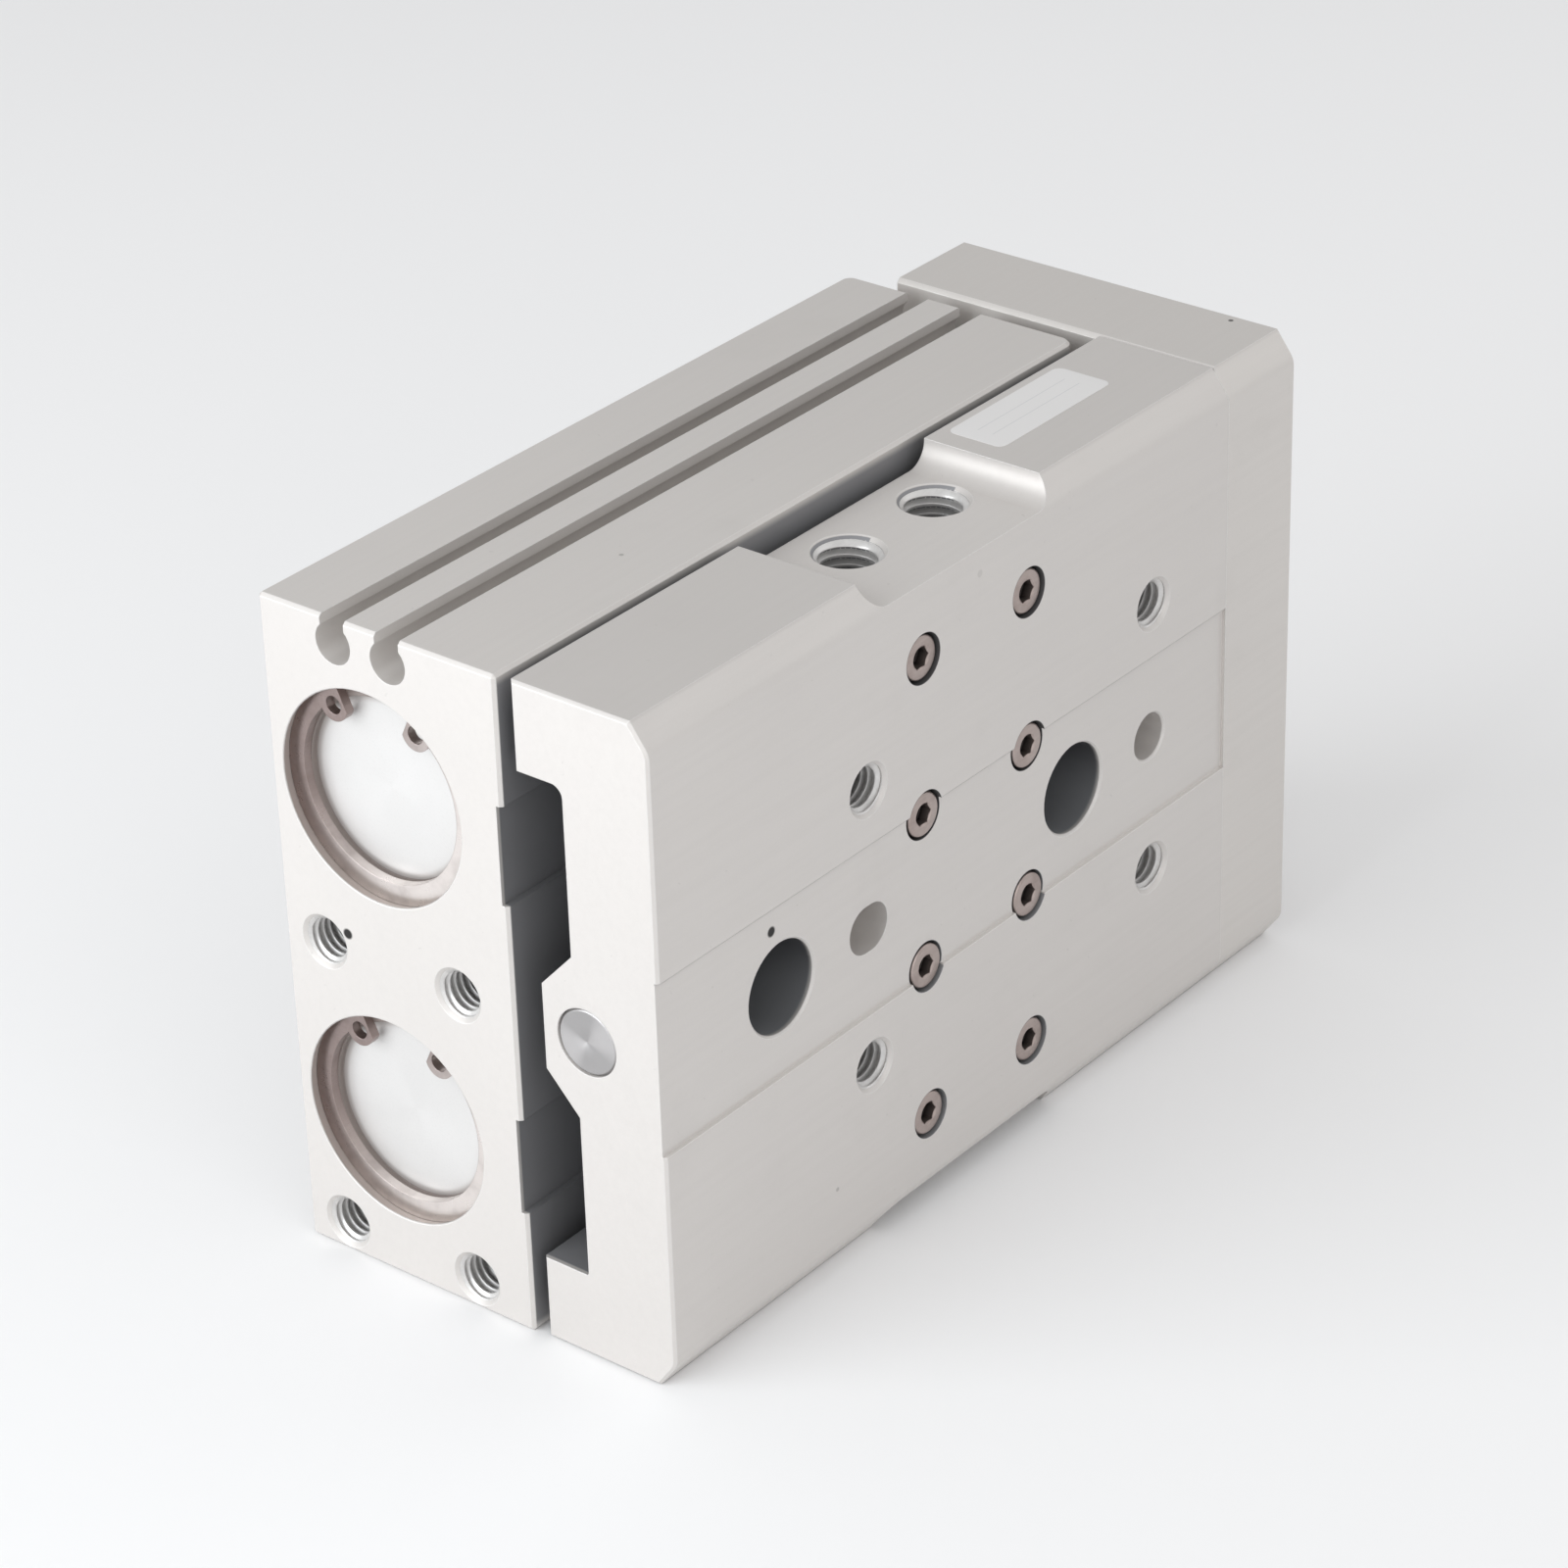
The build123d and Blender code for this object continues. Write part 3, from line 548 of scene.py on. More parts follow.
@dataclass(frozen=True)
class Finish:
    """Surface finish: a name, a colour and a gloss."""

    name: str
    tone: Colour
    roughness: float = 0.4
    metallic: float = 1.0

    def material(self) -> bpy.types.Material:
        """Make the material at the first call.

        Returns:
            The one material of this name.
        """
        known = bpy.data.materials.get(self.name)
        if known is not None:
            return known
        material = bpy.data.materials.new(self.name)
        material.use_nodes = True
        self.paint(Graph(material.node_tree))
        material.diffuse_color = (*self.tone, 1.0)
        return material

    def shade(self, share: float) -> Colour:
        """Tone times a share."""
        red, green, blue = (min(1.0, part * share) for part in self.tone)
        return red, green, blue

    def veiled(self, graph: Graph, colour: Wire, pattern: Wire, veil: Veil) -> Wire:
        """Colour under a veil of the finish's own tone."""
        cover = graph.fade(pattern, veil.low, veil.high) * veil.share
        return graph.mix(cover, colour, self.shade(veil.tone))

    def paint(self, graph: Graph) -> None:
        """Draw the finish.

        Args:
            graph: Empty node graph of the material.
        """
        raise NotImplementedError


@dataclass(frozen=True)
class Mark:
    """Small speck on a face: place and radius in millimetres, and depth of colour."""

    u: float
    v: float
    h: float
    radius: float
    depth: float
    tone: Colour = NEAR_BLACK

    def mask(self, graph: Graph, position: Wire) -> Wire:
        """Draw a ball round the place: full within 0.7 radius, gone at 1.15 radius.

        Args:
            graph: Node graph of the material.
            position: Place in millimetres.

        Returns:
            Depth of colour.
        """
        x, y, z = (float(part) for part in DATUM.place(self.u, self.v, self.h) / MM)
        settings = {"operation": "DISTANCE"}
        sockets = {"Vector": position, "Vector_001": (x, y, z)}
        distance = graph.node("ShaderNodeVectorMath", settings, sockets, "Value")
        return graph.inside(distance, self.radius * 0.7, self.radius * 0.45) * self.depth


@dataclass(frozen=True)
class Zone:
    """Box-shaped part of a piece with painted shade in a darker tone where light hardly
    reaches, or painted light where its tone is paler.
    """

    u: tuple[float, float]
    v: tuple[float, float]
    half_h: float
    soft_u: float = 0.25
    soft_v: float = 0.1
    soft_h: float = 0.1
    tone: Colour = (0.27, 0.27, 0.28)

    def mask(self, graph: Graph, u: Wire, v: Wire, h: Wire) -> Wire:
        """1 inside the box, fading out over its sides."""
        box = graph.between(u, self.u, self.soft_u) * graph.between(v, self.v, self.soft_v)
        return box * graph.inside(abs(h), self.half_h, self.soft_h)


@dataclass(frozen=True)
class ShadeCollar:
    """Ring-shaped wall round both bores near the rear face, and the tone of its painted
    shade.
    """

    inner: float
    outer: float
    u: tuple[float, float]
    tone: Colour
    share: float
    soft: float = 0.05
    soft_u: float = 0.1

    def mask(self, graph: Graph, u: Wire, v: Wire, h: Wire) -> Wire:
        """Draw the ring between its two radii and its two distances from the rear face.

        Args:
            graph: Node graph of the material.
            u: Distance along the stroke.
            v: Distance from the back face.
            h: Height above mid height.

        Returns:
            Share of the ring's painted shade.
        """
        radius = graph.length(v - BORE_V, abs(h) - BORE_H)
        across = graph.fade(radius, self.inner - self.soft, self.inner)
        across = across * graph.inside(radius, self.outer, self.soft)
        return graph.between(u, self.u, self.soft_u) * across * self.share


@dataclass(frozen=True)
class Line:
    """Thin line along the stroke at a step on the main face: painted shadow in a dark tone,
    or painted light where its tone is pale.
    """

    h: float
    from_v: float
    half_width: float = 0.045
    soft_h: float = 0.07
    soft_v: float = 0.1
    share: float = 0.5
    tone: Colour = (0.08, 0.075, 0.07)

    def mask(self, graph: Graph, v: Wire, h: Wire) -> Wire:
        """Share near one height on the outer side."""
        near = graph.inside(abs(h - self.h), self.half_width, self.soft_h)
        return near * graph.fade(v, self.from_v - self.soft_v, self.from_v) * self.share


@dataclass(frozen=True)
class ShadedWell:
    """Family of like holes across the table whose walls carry painted shade.

    Centres lie at two distances u and at heights that folding gives: the height without its
    sign, less fold_h, without its sign, less half_h. The painted shade starts below the
    mouth at top_v, over the two depths of rim, and ends at floor_v. lower_tone is painted
    light on the lower half of each wall and upper_tone painted shade on its upper half.
    """

    u: tuple[float, float]
    radius: float
    top_v: float
    fold_h: float = 0.0
    half_h: float = 0.0
    darkness: float = 1.0
    lower_tone: Colour = (0.25, 0.257, 0.27)
    upper_tone: Colour = (0.06, 0.06, 0.065)
    floor_v: float = -10.0
    floor_soft: float = 0.5
    rim: tuple[float, float] = (0.9, 0.25)
    wall: float = 0.02
    wall_soft: float = 0.04

    def paint(self, graph: Graph, u: Wire, v: Wire, h: Wire, colour: Wire) -> Wire:
        """Paint shade on the wall of each hole below its mouth, deepest in its upper half,
        with painted light from the paler lower_tone in its lower half.

        Args:
            graph: Node graph of the material.
            u: Distance along the stroke.
            v: Distance from the back face.
            h: Height above mid height.
            colour: Colour of the metal round the holes.

        Returns:
            Wire with the new colour.
        """
        near, far = self.u
        along = abs(u - (near + far) / 2) - (far - near) / 2
        up = abs(abs(h) - self.fold_h) - self.half_h
        ring = graph.inside(graph.length(along, up), self.radius + self.wall, self.wall_soft)
        below = 1.0 - graph.fade(v, self.top_v - self.rim[0], self.top_v - self.rim[1])
        below = below * graph.fade(v, self.floor_v, self.floor_v + self.floor_soft)
        # painted light on the lower half of each wall, painted shade on the upper half
        rise = graph.fade(h, -self.radius, self.radius)
        tone = graph.mix(rise, self.lower_tone, self.upper_tone)
        return graph.mix(ring * below * self.darkness, colour, tone)


@dataclass(frozen=True)
class Anodised(Finish):
    """Clear anodised aluminium: etched grain, drawn streaks, smudges, and lighter edges that
    are partly worn and partly a painted highlight.

    Both sides beyond side_from and the far end towards far_u carry painted shade, and an
    edge at the height plain_h gets no painted highlight.
    """

    roughness: float = 0.52
    metallic: float = 0.46
    drift: Grain = Grain(0.028)
    drift_tones: tuple[float, float] = (0.955, 1.03)
    drift_rough: float = 0.07
    drawing: Grain = Grain(1.1, 4.0, 0.035)
    drawn_veil: Veil = Veil(0.3, 0.75, 0.35, 0.95)
    drawn_rough: float = 0.06
    etching: Grain = Grain(5.5)
    etched_veil: Veil = Veil(0.35, 0.8, 0.25, 1.06)
    handling: Grain = Grain(0.075, 6.0)
    smudge_veil: Veil = Veil(0.56, 0.78, 0.07, 0.62)
    smudge_rough: float = 0.05
    scuffing: Grain = Grain(0.9, 2.0)
    scuff_turn: Place = (0.3, 0.55, 0.9)
    scuff_size: Place = (9.0, 0.8, 0.8)
    scuff_veil: Veil = Veil(0.735, 0.79, 0.16, 0.5)
    edge_radius: float = 0.17
    edge_light: float = 0.55
    edge_tone: Colour = (0.9, 0.9, 0.89)
    edge_polish: float = 0.08
    relief: float = 0.012
    relief_strength: float = 0.35
    etched_height: float = 0.6
    drawn_height: float = 0.4
    marks: tuple[Mark, ...] = ()
    shaded_wells: tuple[ShadedWell, ...] = ()
    zones: tuple[Zone, ...] = ()
    shade_collars: tuple[ShadeCollar, ...] = ()
    lines: tuple[Line, ...] = ()
    plain_h: float = 1000.0
    plain_soft: tuple[float, float] = (0.3, 0.6)
    side_from: float = 41.8
    side_full: float = 42.1
    side_share: float = 0.0
    far_u: float = 106.0
    far_share: float = 0.0
    shaded: float = 0.8

    def paint(self, graph: Graph) -> None:
        """Tone = drifting grey, less smudges and scuffs, lighter on edges as wear and
        painted highlight, painted shade in holes, boxes, rings and lines, and painted light
        where those tones are pale.

        Args:
            graph: Empty node graph of the material.
        """
        position = graph.position()
        u, v, h = graph.station(position)
        drift = self.drift.on(graph, position)
        drawn = self.drawing.on(graph, position)
        etched = self.etching.on(graph, position)
        dark, light = self.drift_tones
        colour = graph.mix(drift, self.shade(dark), self.shade(light))
        colour = self.veiled(graph, colour, drawn, self.drawn_veil)
        colour = self.veiled(graph, colour, etched, self.etched_veil)
        smudge = self.smudge_veil
        hands = graph.fade(self.handling.on(graph, position), smudge.low, smudge.high)
        colour = graph.mix(hands * smudge.share, colour, self.shade(smudge.tone))
        settings = {"vector_type": "TEXTURE"}
        sockets = {"Vector": position, "Rotation": self.scuff_turn, "Scale": self.scuff_size}
        scuffs = self.scuffing.on(graph, graph.node("ShaderNodeMapping", settings, sockets))
        colour = self.veiled(graph, colour, scuffs, self.scuff_veil)
        # painted shade on both sides and towards the far end
        sides = graph.fade(abs(h), self.side_from, self.side_full) * self.side_share
        colour = graph.mix(sides, colour, self.shade(self.shaded))
        far = graph.fade(u, 0.0, self.far_u) * self.far_share
        colour = graph.mix(far, colour, self.shade(self.shaded))
        # lighter edges: partly worn bare edges, partly a painted highlight
        soft_normal, edge = graph.rounded_edges(self.edge_radius)
        edge = edge * graph.fade(abs(h - self.plain_h), *self.plain_soft)
        colour = graph.mix(edge * self.edge_light, colour, self.edge_tone)
        for mark in self.marks:
            colour = graph.mix(mark.mask(graph, position), colour, mark.tone)
        # painted shade, and painted light where a tone is pale
        for shaded_well in self.shaded_wells:
            colour = shaded_well.paint(graph, u, v, h, colour)
        for area in (*self.zones, *self.shade_collars):
            colour = graph.mix(area.mask(graph, u, v, h), colour, area.tone)
        for line in self.lines:
            colour = graph.mix(line.mask(graph, v, h), colour, line.tone)
        rough = self.roughness + self.drift_rough * (drift - 0.5)
        rough = rough + self.drawn_rough * (drawn - 0.5) + self.smudge_rough * hands
        height = etched * self.etched_height + drawn * self.drawn_height
        graph.surface(
            Base_Color=colour,
            Metallic=self.metallic,
            Roughness=rough - edge * self.edge_polish,
            Normal=graph.bump(height, self.relief, self.relief_strength, soft_normal),
        )


@dataclass(frozen=True)
class Turned(Finish):
    """Lathe-turned metal: fine rings round an axis along the stroke, and a painted sheen,
    a lighter wedge that stands in for a reflection.

    The axis lies at axis_v and at mid height, or at mirror_h above and below it.
    """

    roughness: float = 0.33
    metallic: float = 0.9
    axis_v: float = BORE_V
    mirror_h: float = 0.0
    drift: Grain = Grain(0.12)
    drift_tones: tuple[float, float] = (0.93, 1.04)
    fine: Grain = Grain(4.0)
    fine_veil: Veil = Veil(0.5, 0.8, 0.2, 0.8)
    fine_rough: float = 0.1
    ring_pitch: float = 0.16
    ring_wander: float = 5.0
    ring_depth: float = 0.004
    ring_share: float = 0.2
    ring_tone: float = 0.86
    ring_rough: float = 0.05
    ring_height: float = 0.7
    fine_height: float = 0.3
    relief_strength: float = 0.5
    sheen: float = 0.15
    sheen_angle: float = 0.45
    sheen_from: float = 0.55
    sheen_full: float = 1.0
    sheen_tone: float = 1.5
    edge_radius: float = 0.18
    edge_share: float = 0.4
    edge_tone: float = 1.25
    shade_collars: tuple[ShadeCollar, ...] = ()

    def paint(self, graph: Graph) -> None:
        """Rings = sine of the distance from the axis, broken up by noise. The painted sheen
        = size of the cosine of the angle round the axis from the sheen's own angle. Ring
        masks add painted shade.

        Args:
            graph: Empty node graph of the material.
        """
        position = graph.position()
        u, v, h = graph.station(position)
        across, up = v - self.axis_v, h
        if self.mirror_h:
            up = abs(h) - self.mirror_h
        distance = graph.length(across, up)
        cosine, sine = float(np.cos(self.sheen_angle)), float(np.sin(self.sheen_angle))
        wedge = graph.combine("DIVIDE", abs(across * cosine + up * sine), distance)
        drift = self.drift.on(graph, position)
        fine = self.fine.on(graph, position)
        turns = distance * (FULL_TURN / self.ring_pitch) + drift * self.ring_wander
        rings = graph.apply("SINE", turns) * 0.5 + 0.5
        dark, light = self.drift_tones
        colour = graph.mix(drift, self.shade(dark), self.shade(light))
        colour = graph.mix(rings * self.ring_share, colour, self.shade(self.ring_tone))
        colour = self.veiled(graph, colour, fine, self.fine_veil)
        # painted sheen: a lighter wedge standing in for a reflection
        sheen = graph.fade(wedge, self.sheen_from, self.sheen_full) * self.sheen
        colour = graph.mix(sheen, colour, self.shade(self.sheen_tone))
        soft_normal, edge = graph.rounded_edges(self.edge_radius)
        colour = graph.mix(edge * self.edge_share, colour, self.shade(self.edge_tone))
        for shade_collar in self.shade_collars:
            colour = graph.mix(shade_collar.mask(graph, u, v, h), colour, shade_collar.tone)
        rough = self.roughness + self.fine_rough * (fine - 0.5)
        height = rings * self.ring_height + fine * self.fine_height
        graph.surface(
            Base_Color=colour,
            Metallic=self.metallic,
            Roughness=rough + self.ring_rough * rings,
            Normal=graph.bump(height, self.ring_depth, self.relief_strength, soft_normal),
        )


@dataclass(frozen=True)
class Steel(Finish):
    """Ground or plated steel: lines along the stroke, clouded stain and worn edges."""

    grinding: Grain = Grain(2.5, 3.0, 0.05)
    line_tones: tuple[float, float] = (0.88, 1.1)
    clouding: Grain = Grain(0.35, 4.0)
    stain: Colour = (0.12, 0.08, 0.06)
    stain_share: float = 0.3
    stain_from: float = 0.42
    stain_full: float = 0.78
    cloud_rough: float = 0.14
    fine: Grain = Grain(9.0, 2.0)
    fine_rough: float = 0.08
    edge_radius: float = 0.14
    edge_share: float = 0.5
    edge_tone: float = 1.35
    relief: float = 0.006
    relief_strength: float = 0.4
    # tone of the painted shade deep in threads and screw sockets
    hollow_shade_tone: Colour = NEAR_BLACK

    def base(self, graph: Graph, position: Wire, colour: Wire) -> Wire:
        """Colour before stain and wear."""
        return colour

    def paint(self, graph: Graph) -> None:
        """Tone = clouded stain over steel with long grinding lines, and painted shade deep
        in threads and screw sockets.

        Args:
            graph: Empty node graph of the material.
        """
        position = graph.position()
        cloud = self.clouding.on(graph, position)
        lines = self.grinding.on(graph, position)
        fine = self.fine.on(graph, position)
        dark, light = self.line_tones
        colour = graph.mix(lines, self.shade(dark), self.shade(light))
        colour = self.base(graph, position, colour)
        stained = graph.fade(cloud, self.stain_from, self.stain_full) * self.stain_share
        colour = graph.mix(stained, colour, self.stain)
        soft_normal, edge = graph.rounded_edges(self.edge_radius)
        colour = graph.mix(edge * self.edge_share, colour, self.shade(self.edge_tone))
        # painted shade from the mesh's per-row attribute, deeper down in threads and sockets
        settings = {"attribute_type": "GEOMETRY", "attribute_name": "hollow_shade"}
        hollow_shade = graph.node("ShaderNodeAttribute", settings, output="Fac")
        colour = graph.mix(hollow_shade, colour, self.hollow_shade_tone)
        rough = self.roughness + self.cloud_rough * (cloud - 0.5)
        height = lines * 0.5 + fine * 0.5
        graph.surface(
            Base_Color=colour,
            Metallic=self.metallic,
            Roughness=rough + self.fine_rough * (fine - 0.5),
            Normal=graph.bump(height, self.relief, self.relief_strength, soft_normal),
        )


@dataclass(frozen=True)
class PaintedLightSteel(Steel):
    """Browned spring steel with painted light: its colour pales towards the table and
    downwards.
    """

    pale: Colour = (0.80, 0.745, 0.715)
    slope_v: float = 0.8
    slope_h: float = 0.6
    pale_from: float = -9.0
    pale_full: float = 12.0

    def base(self, graph: Graph, position: Wire, colour: Wire) -> Wire:
        """Colour mixed towards the pale tone of the painted light by the place across the
        ring.

        Args:
            graph: Node graph of the material.
            position: Place in millimetres.
            colour: Colour of the steel.

        Returns:
            Wire with the new colour.
        """
        _, v, h = graph.station(position)
        side = graph.apply("SIGN", h)
        slant = (v - BORE_V) * self.slope_v - (h - side * BORE_H) * self.slope_h
        # painted light: paler towards the table and downwards
        paled = graph.fade(slant, self.pale_from, self.pale_full)
        return graph.mix(paled, colour, self.pale)


@dataclass(frozen=True)
class Moulded(Finish):
    """Rubber or moulded plastic: fine orange-peel grain, dust and paler worn edges."""

    roughness: float = 0.55
    metallic: float = 0.0
    peel: Grain = Grain(3.0)
    peel_tones: tuple[float, float] = (0.85, 1.12)
    clouding: Grain = Grain(0.2, 4.0)
    cloud_rough: float = 0.12
    dust: float = 0.12
    dust_from: float = 0.5
    dust_full: float = 0.8
    dust_tone: Colour = (0.4, 0.39, 0.37)
    edge_radius: float = 0.2
    edge_share: float = 0.25
    edge_tone: float = 1.8
    relief: float = 0.02
    relief_strength: float = 0.4

    def paint(self, graph: Graph) -> None:
        """Tone = base with a little dust where noise is high.

        Args:
            graph: Empty node graph of the material.
        """
        position = graph.position()
        peel = self.peel.on(graph, position)
        cloud = self.clouding.on(graph, position)
        dark, light = self.peel_tones
        colour = graph.mix(peel, self.shade(dark), self.shade(light))
        dust = graph.fade(cloud, self.dust_from, self.dust_full) * self.dust
        colour = graph.mix(dust, colour, self.dust_tone)
        soft_normal, edge = graph.rounded_edges(self.edge_radius)
        colour = graph.mix(edge * self.edge_share, colour, self.shade(self.edge_tone))
        graph.surface(
            Base_Color=colour,
            Metallic=self.metallic,
            Roughness=self.roughness + self.cloud_rough * (cloud - 0.5),
            Normal=graph.bump(peel, self.relief, self.relief_strength, soft_normal),
        )


@dataclass(frozen=True)
class Film(Finish):
    """Blank sticker: satin white film with two faint ruled lines.

    The lines lie line_gap to either side of a middle that is line_shift off the film's.
    """

    roughness: float = 0.38
    metallic: float = 0.0
    centre_u: float = 87.4
    centre_v: float = 41.25
    ink: Colour = (0.42, 0.43, 0.45)
    ink_share: float = 0.5
    line_gap: float = 1.05
    line_shift: float = 0.15
    line_half_width: float = 0.03
    line_half_length: float = 8.6
    fibres: Grain = Grain(2.2, 4.0)
    fibre_veil: Veil = Veil(0.5, 0.8, 0.12, 0.93)
    fibre_rough: float = 0.08
    clouding: Grain = Grain(0.12, 2.0)
    cloud_tones: tuple[float, float] = (0.97, 1.0)
    relief: float = 0.03
    relief_strength: float = 0.3

    def paint(self, graph: Graph) -> None:
        """Tone = white film, ruled where the distance across matches a line's place.

        Args:
            graph: Empty node graph of the material.
        """
        position = graph.position()
        u, v, _ = graph.station(position)
        across = v - self.centre_v
        fibre = self.fibres.on(graph, position)
        cloud = self.clouding.on(graph, position)
        off_line = abs(abs(across + self.line_shift) - self.line_gap)
        lines = graph.inside(off_line, self.line_half_width, 0.05)
        lines = lines * graph.inside(abs(u - self.centre_u), self.line_half_length, 0.1)
        dark, light = self.cloud_tones
        colour = graph.mix(cloud, self.shade(dark), self.shade(light))
        colour = self.veiled(graph, colour, fibre, self.fibre_veil)
        colour = graph.mix(lines * self.ink_share, colour, self.ink)
        height = cloud * 0.8 + fibre * 0.2
        graph.surface(
            Base_Color=colour,
            Metallic=self.metallic,
            Roughness=self.roughness + self.fibre_rough * (fibre - 0.5),
            Normal=graph.bump(height, self.relief, self.relief_strength),
        )


@dataclass(frozen=True)
class StudioPaper(Finish):
    """Seamless pale backdrop paper with a whisper of tooth."""

    roughness: float = 0.9
    specular: float = 0.2
    clouding: Grain = Grain(0.004, 2.0)
    cloud_tones: tuple[float, float] = (0.985, 1.015)
    tooth: Grain = Grain(1.5, 2.0)
    tooth_depth: float = 0.02
    tooth_strength: float = 0.05

    def paint(self, graph: Graph) -> None:
        """Tone = pale grey that barely drifts.

        Args:
            graph: Empty node graph of the material.
        """
        position = graph.position()
        cloud = self.clouding.on(graph, position)
        tooth = self.tooth.on(graph, position)
        dark, light = self.cloud_tones
        graph.surface(
            Base_Color=graph.mix(cloud, self.shade(dark), self.shade(light)),
            Roughness=self.roughness,
            Normal=graph.bump(tooth, self.tooth_depth, self.tooth_strength),
            Specular_IOR_Level=self.specular,
        )


# Studio


@dataclass(frozen=True)
class Lamp:
    """Square soft lamp: place and aim in metres, side in metres, power in watts."""

    name: str
    place: Place
    aim: Place
    side: float
    power: float
    tint: Colour = (1.0, 1.0, 1.0)

    def make(self) -> None:
        """Hang the lamp and turn it to its aim."""
        data = bpy.data.lights.new(self.name, "AREA")
        data.shape = "SQUARE"
        data.size = self.side
        data.energy = self.power
        data.color = self.tint
        lamp = bpy.data.objects.new(self.name, data)
        lamp.location = self.place
        direction = Vector(self.aim) - Vector(self.place)
        lamp.rotation_euler = direction.to_track_quat("-Z", "Y").to_euler()
        bpy.context.scene.collection.objects.link(lamp)


@dataclass(frozen=True)
class Studio:
    """Pale floor, soft lamps, world and the photograph's camera."""

    eye: Place = (-0.4073, -0.3279, 0.3316)
    turn: Place = (1.89967695, -0.93997802, 0.51750988)
    focal_pixels: float = 5130.08
    frame_pixels: float = 1600.0
    sensor: float = 36.0
    floor_half: float = 3.0
    floor_z: float = -0.0001
    paper: StudioPaper = StudioPaper("studio_paper", (0.88, 0.88, 0.885))
    lamps: tuple[Lamp, ...] = (
        Lamp(
            "key_left",
            place=(-0.72, 0.26, 0.24),
            aim=(0.0, 0.0, 0.04),
            side=0.8,
            power=6.6,
            tint=(0.935, 0.972, 1.0),
        ),
        Lamp("fill_front", (-0.55, -0.88, 0.56), (0.0, 0.0, 0.05), side=1.1, power=3.1),
        Lamp("soft_right", (0.42, -0.30, 0.40), (0.0, 0.0, 0.05), side=0.5, power=0.3),
    )
    light_level: float = 0.68
    background: Colour = (0.68, 0.68, 0.68)

    def camera(self) -> None:
        """Set the camera. Its turn is a rotation vector: the identity, plus the sine of its
        length times the cross matrix of its axis, plus one less the cosine times its square.
        """
        turn = np.array(self.turn)
        size = np.linalg.norm(turn)
        a, b, c = turn / size
        cross = np.array([[0, -c, b], [c, 0, -a], [-b, a, 0]])
        rotation = np.eye(3) + np.sin(size) * cross + (1 - np.cos(size)) * cross @ cross
        axes = rotation.T @ np.diag([1.0, -1.0, -1.0])
        data = bpy.data.cameras.new("camera")
        data.sensor_width = self.sensor
        data.lens = self.focal_pixels / self.frame_pixels * self.sensor
        data.clip_start = 0.01
        data.clip_end = 20.0
        camera = bpy.data.objects.new("camera", data)
        camera.matrix_world = Matrix.Translation(self.eye) @ Matrix(axes.tolist()).to_4x4()
        bpy.context.scene.collection.objects.link(camera)
        bpy.context.scene.camera = camera

    def floor(self) -> None:
        """Lay the floor: a flat grid whose points are equal steps along x and y."""
        steps = np.linspace(-self.floor_half, self.floor_half, 9)
        x, y = np.meshgrid(steps, steps)
        shell = Shell()
        shell.add(np.stack([x, y, np.full_like(x, self.floor_z)], axis=-1))
        floor = shell.piece("studio_floor")
        floor.data.materials.append(self.paper.material())

    def world(self) -> None:
        """Even light, and a pale background for the camera and for reflections."""
        world = bpy.data.worlds.new("studio_world")
        world.use_nodes = True
        bpy.context.scene.world = world
        graph = Graph(world.node_tree)
        light = {"Color": (1.0, 1.0, 1.0), "Strength": self.light_level}
        shown = {"Color": self.background, "Strength": 1.0}
        seen = [
            graph.node("ShaderNodeLightPath", output=name)
            for name in ("Is Camera Ray", "Is Glossy Ray", "Is Transmission Ray")
        ]
        sockets = {
            "Fac": graph.fade(seen[0] + seen[1] + seen[2], 0.0, 1.0),
            "Shader": graph.node("ShaderNodeBackground", sockets=light),
            "Shader_001": graph.node("ShaderNodeBackground", sockets=shown),
        }
        mixed = graph.node("ShaderNodeMixShader", sockets=sockets)
        graph.node("ShaderNodeOutputWorld", sockets={"Surface": mixed})

    def build(self) -> None:
        """Set up the whole studio."""
        self.camera()
        self.floor()
        self.world()
        for lamp in self.lamps:
            lamp.make()
        bpy.context.scene.view_settings.view_transform = "Standard"
        LOG.info("studio with %d lamps", len(self.lamps))


# Screws and threads


@dataclass(frozen=True)
class Thread:
    """Inside thread: largest and smallest radius, and pitch, in millimetres."""

    major: float
    minor: float
    pitch: float

    def radius(self, phase: Array) -> Array:
        """Radius over one turn: a flat crest for a quarter, straight flanks and a flat root
        for an eighth.

        Args:
            phase: Share of one turn, of which only the fraction counts.

        Returns:
            Radii in millimetres.
        """
        phases = (0.0, 0.25, 0.5625, 0.6875, 1.0)
        radii = (self.minor, self.minor, self.major, self.major, self.minor)
        return np.interp(phase % 1.0, phases, radii)


M6 = Thread(3.0, 2.459, 1.0)
M8 = Thread(4.0, 3.323, 1.25)
PIPE_EIGHTH = Thread(4.864, 4.283, 0.907)


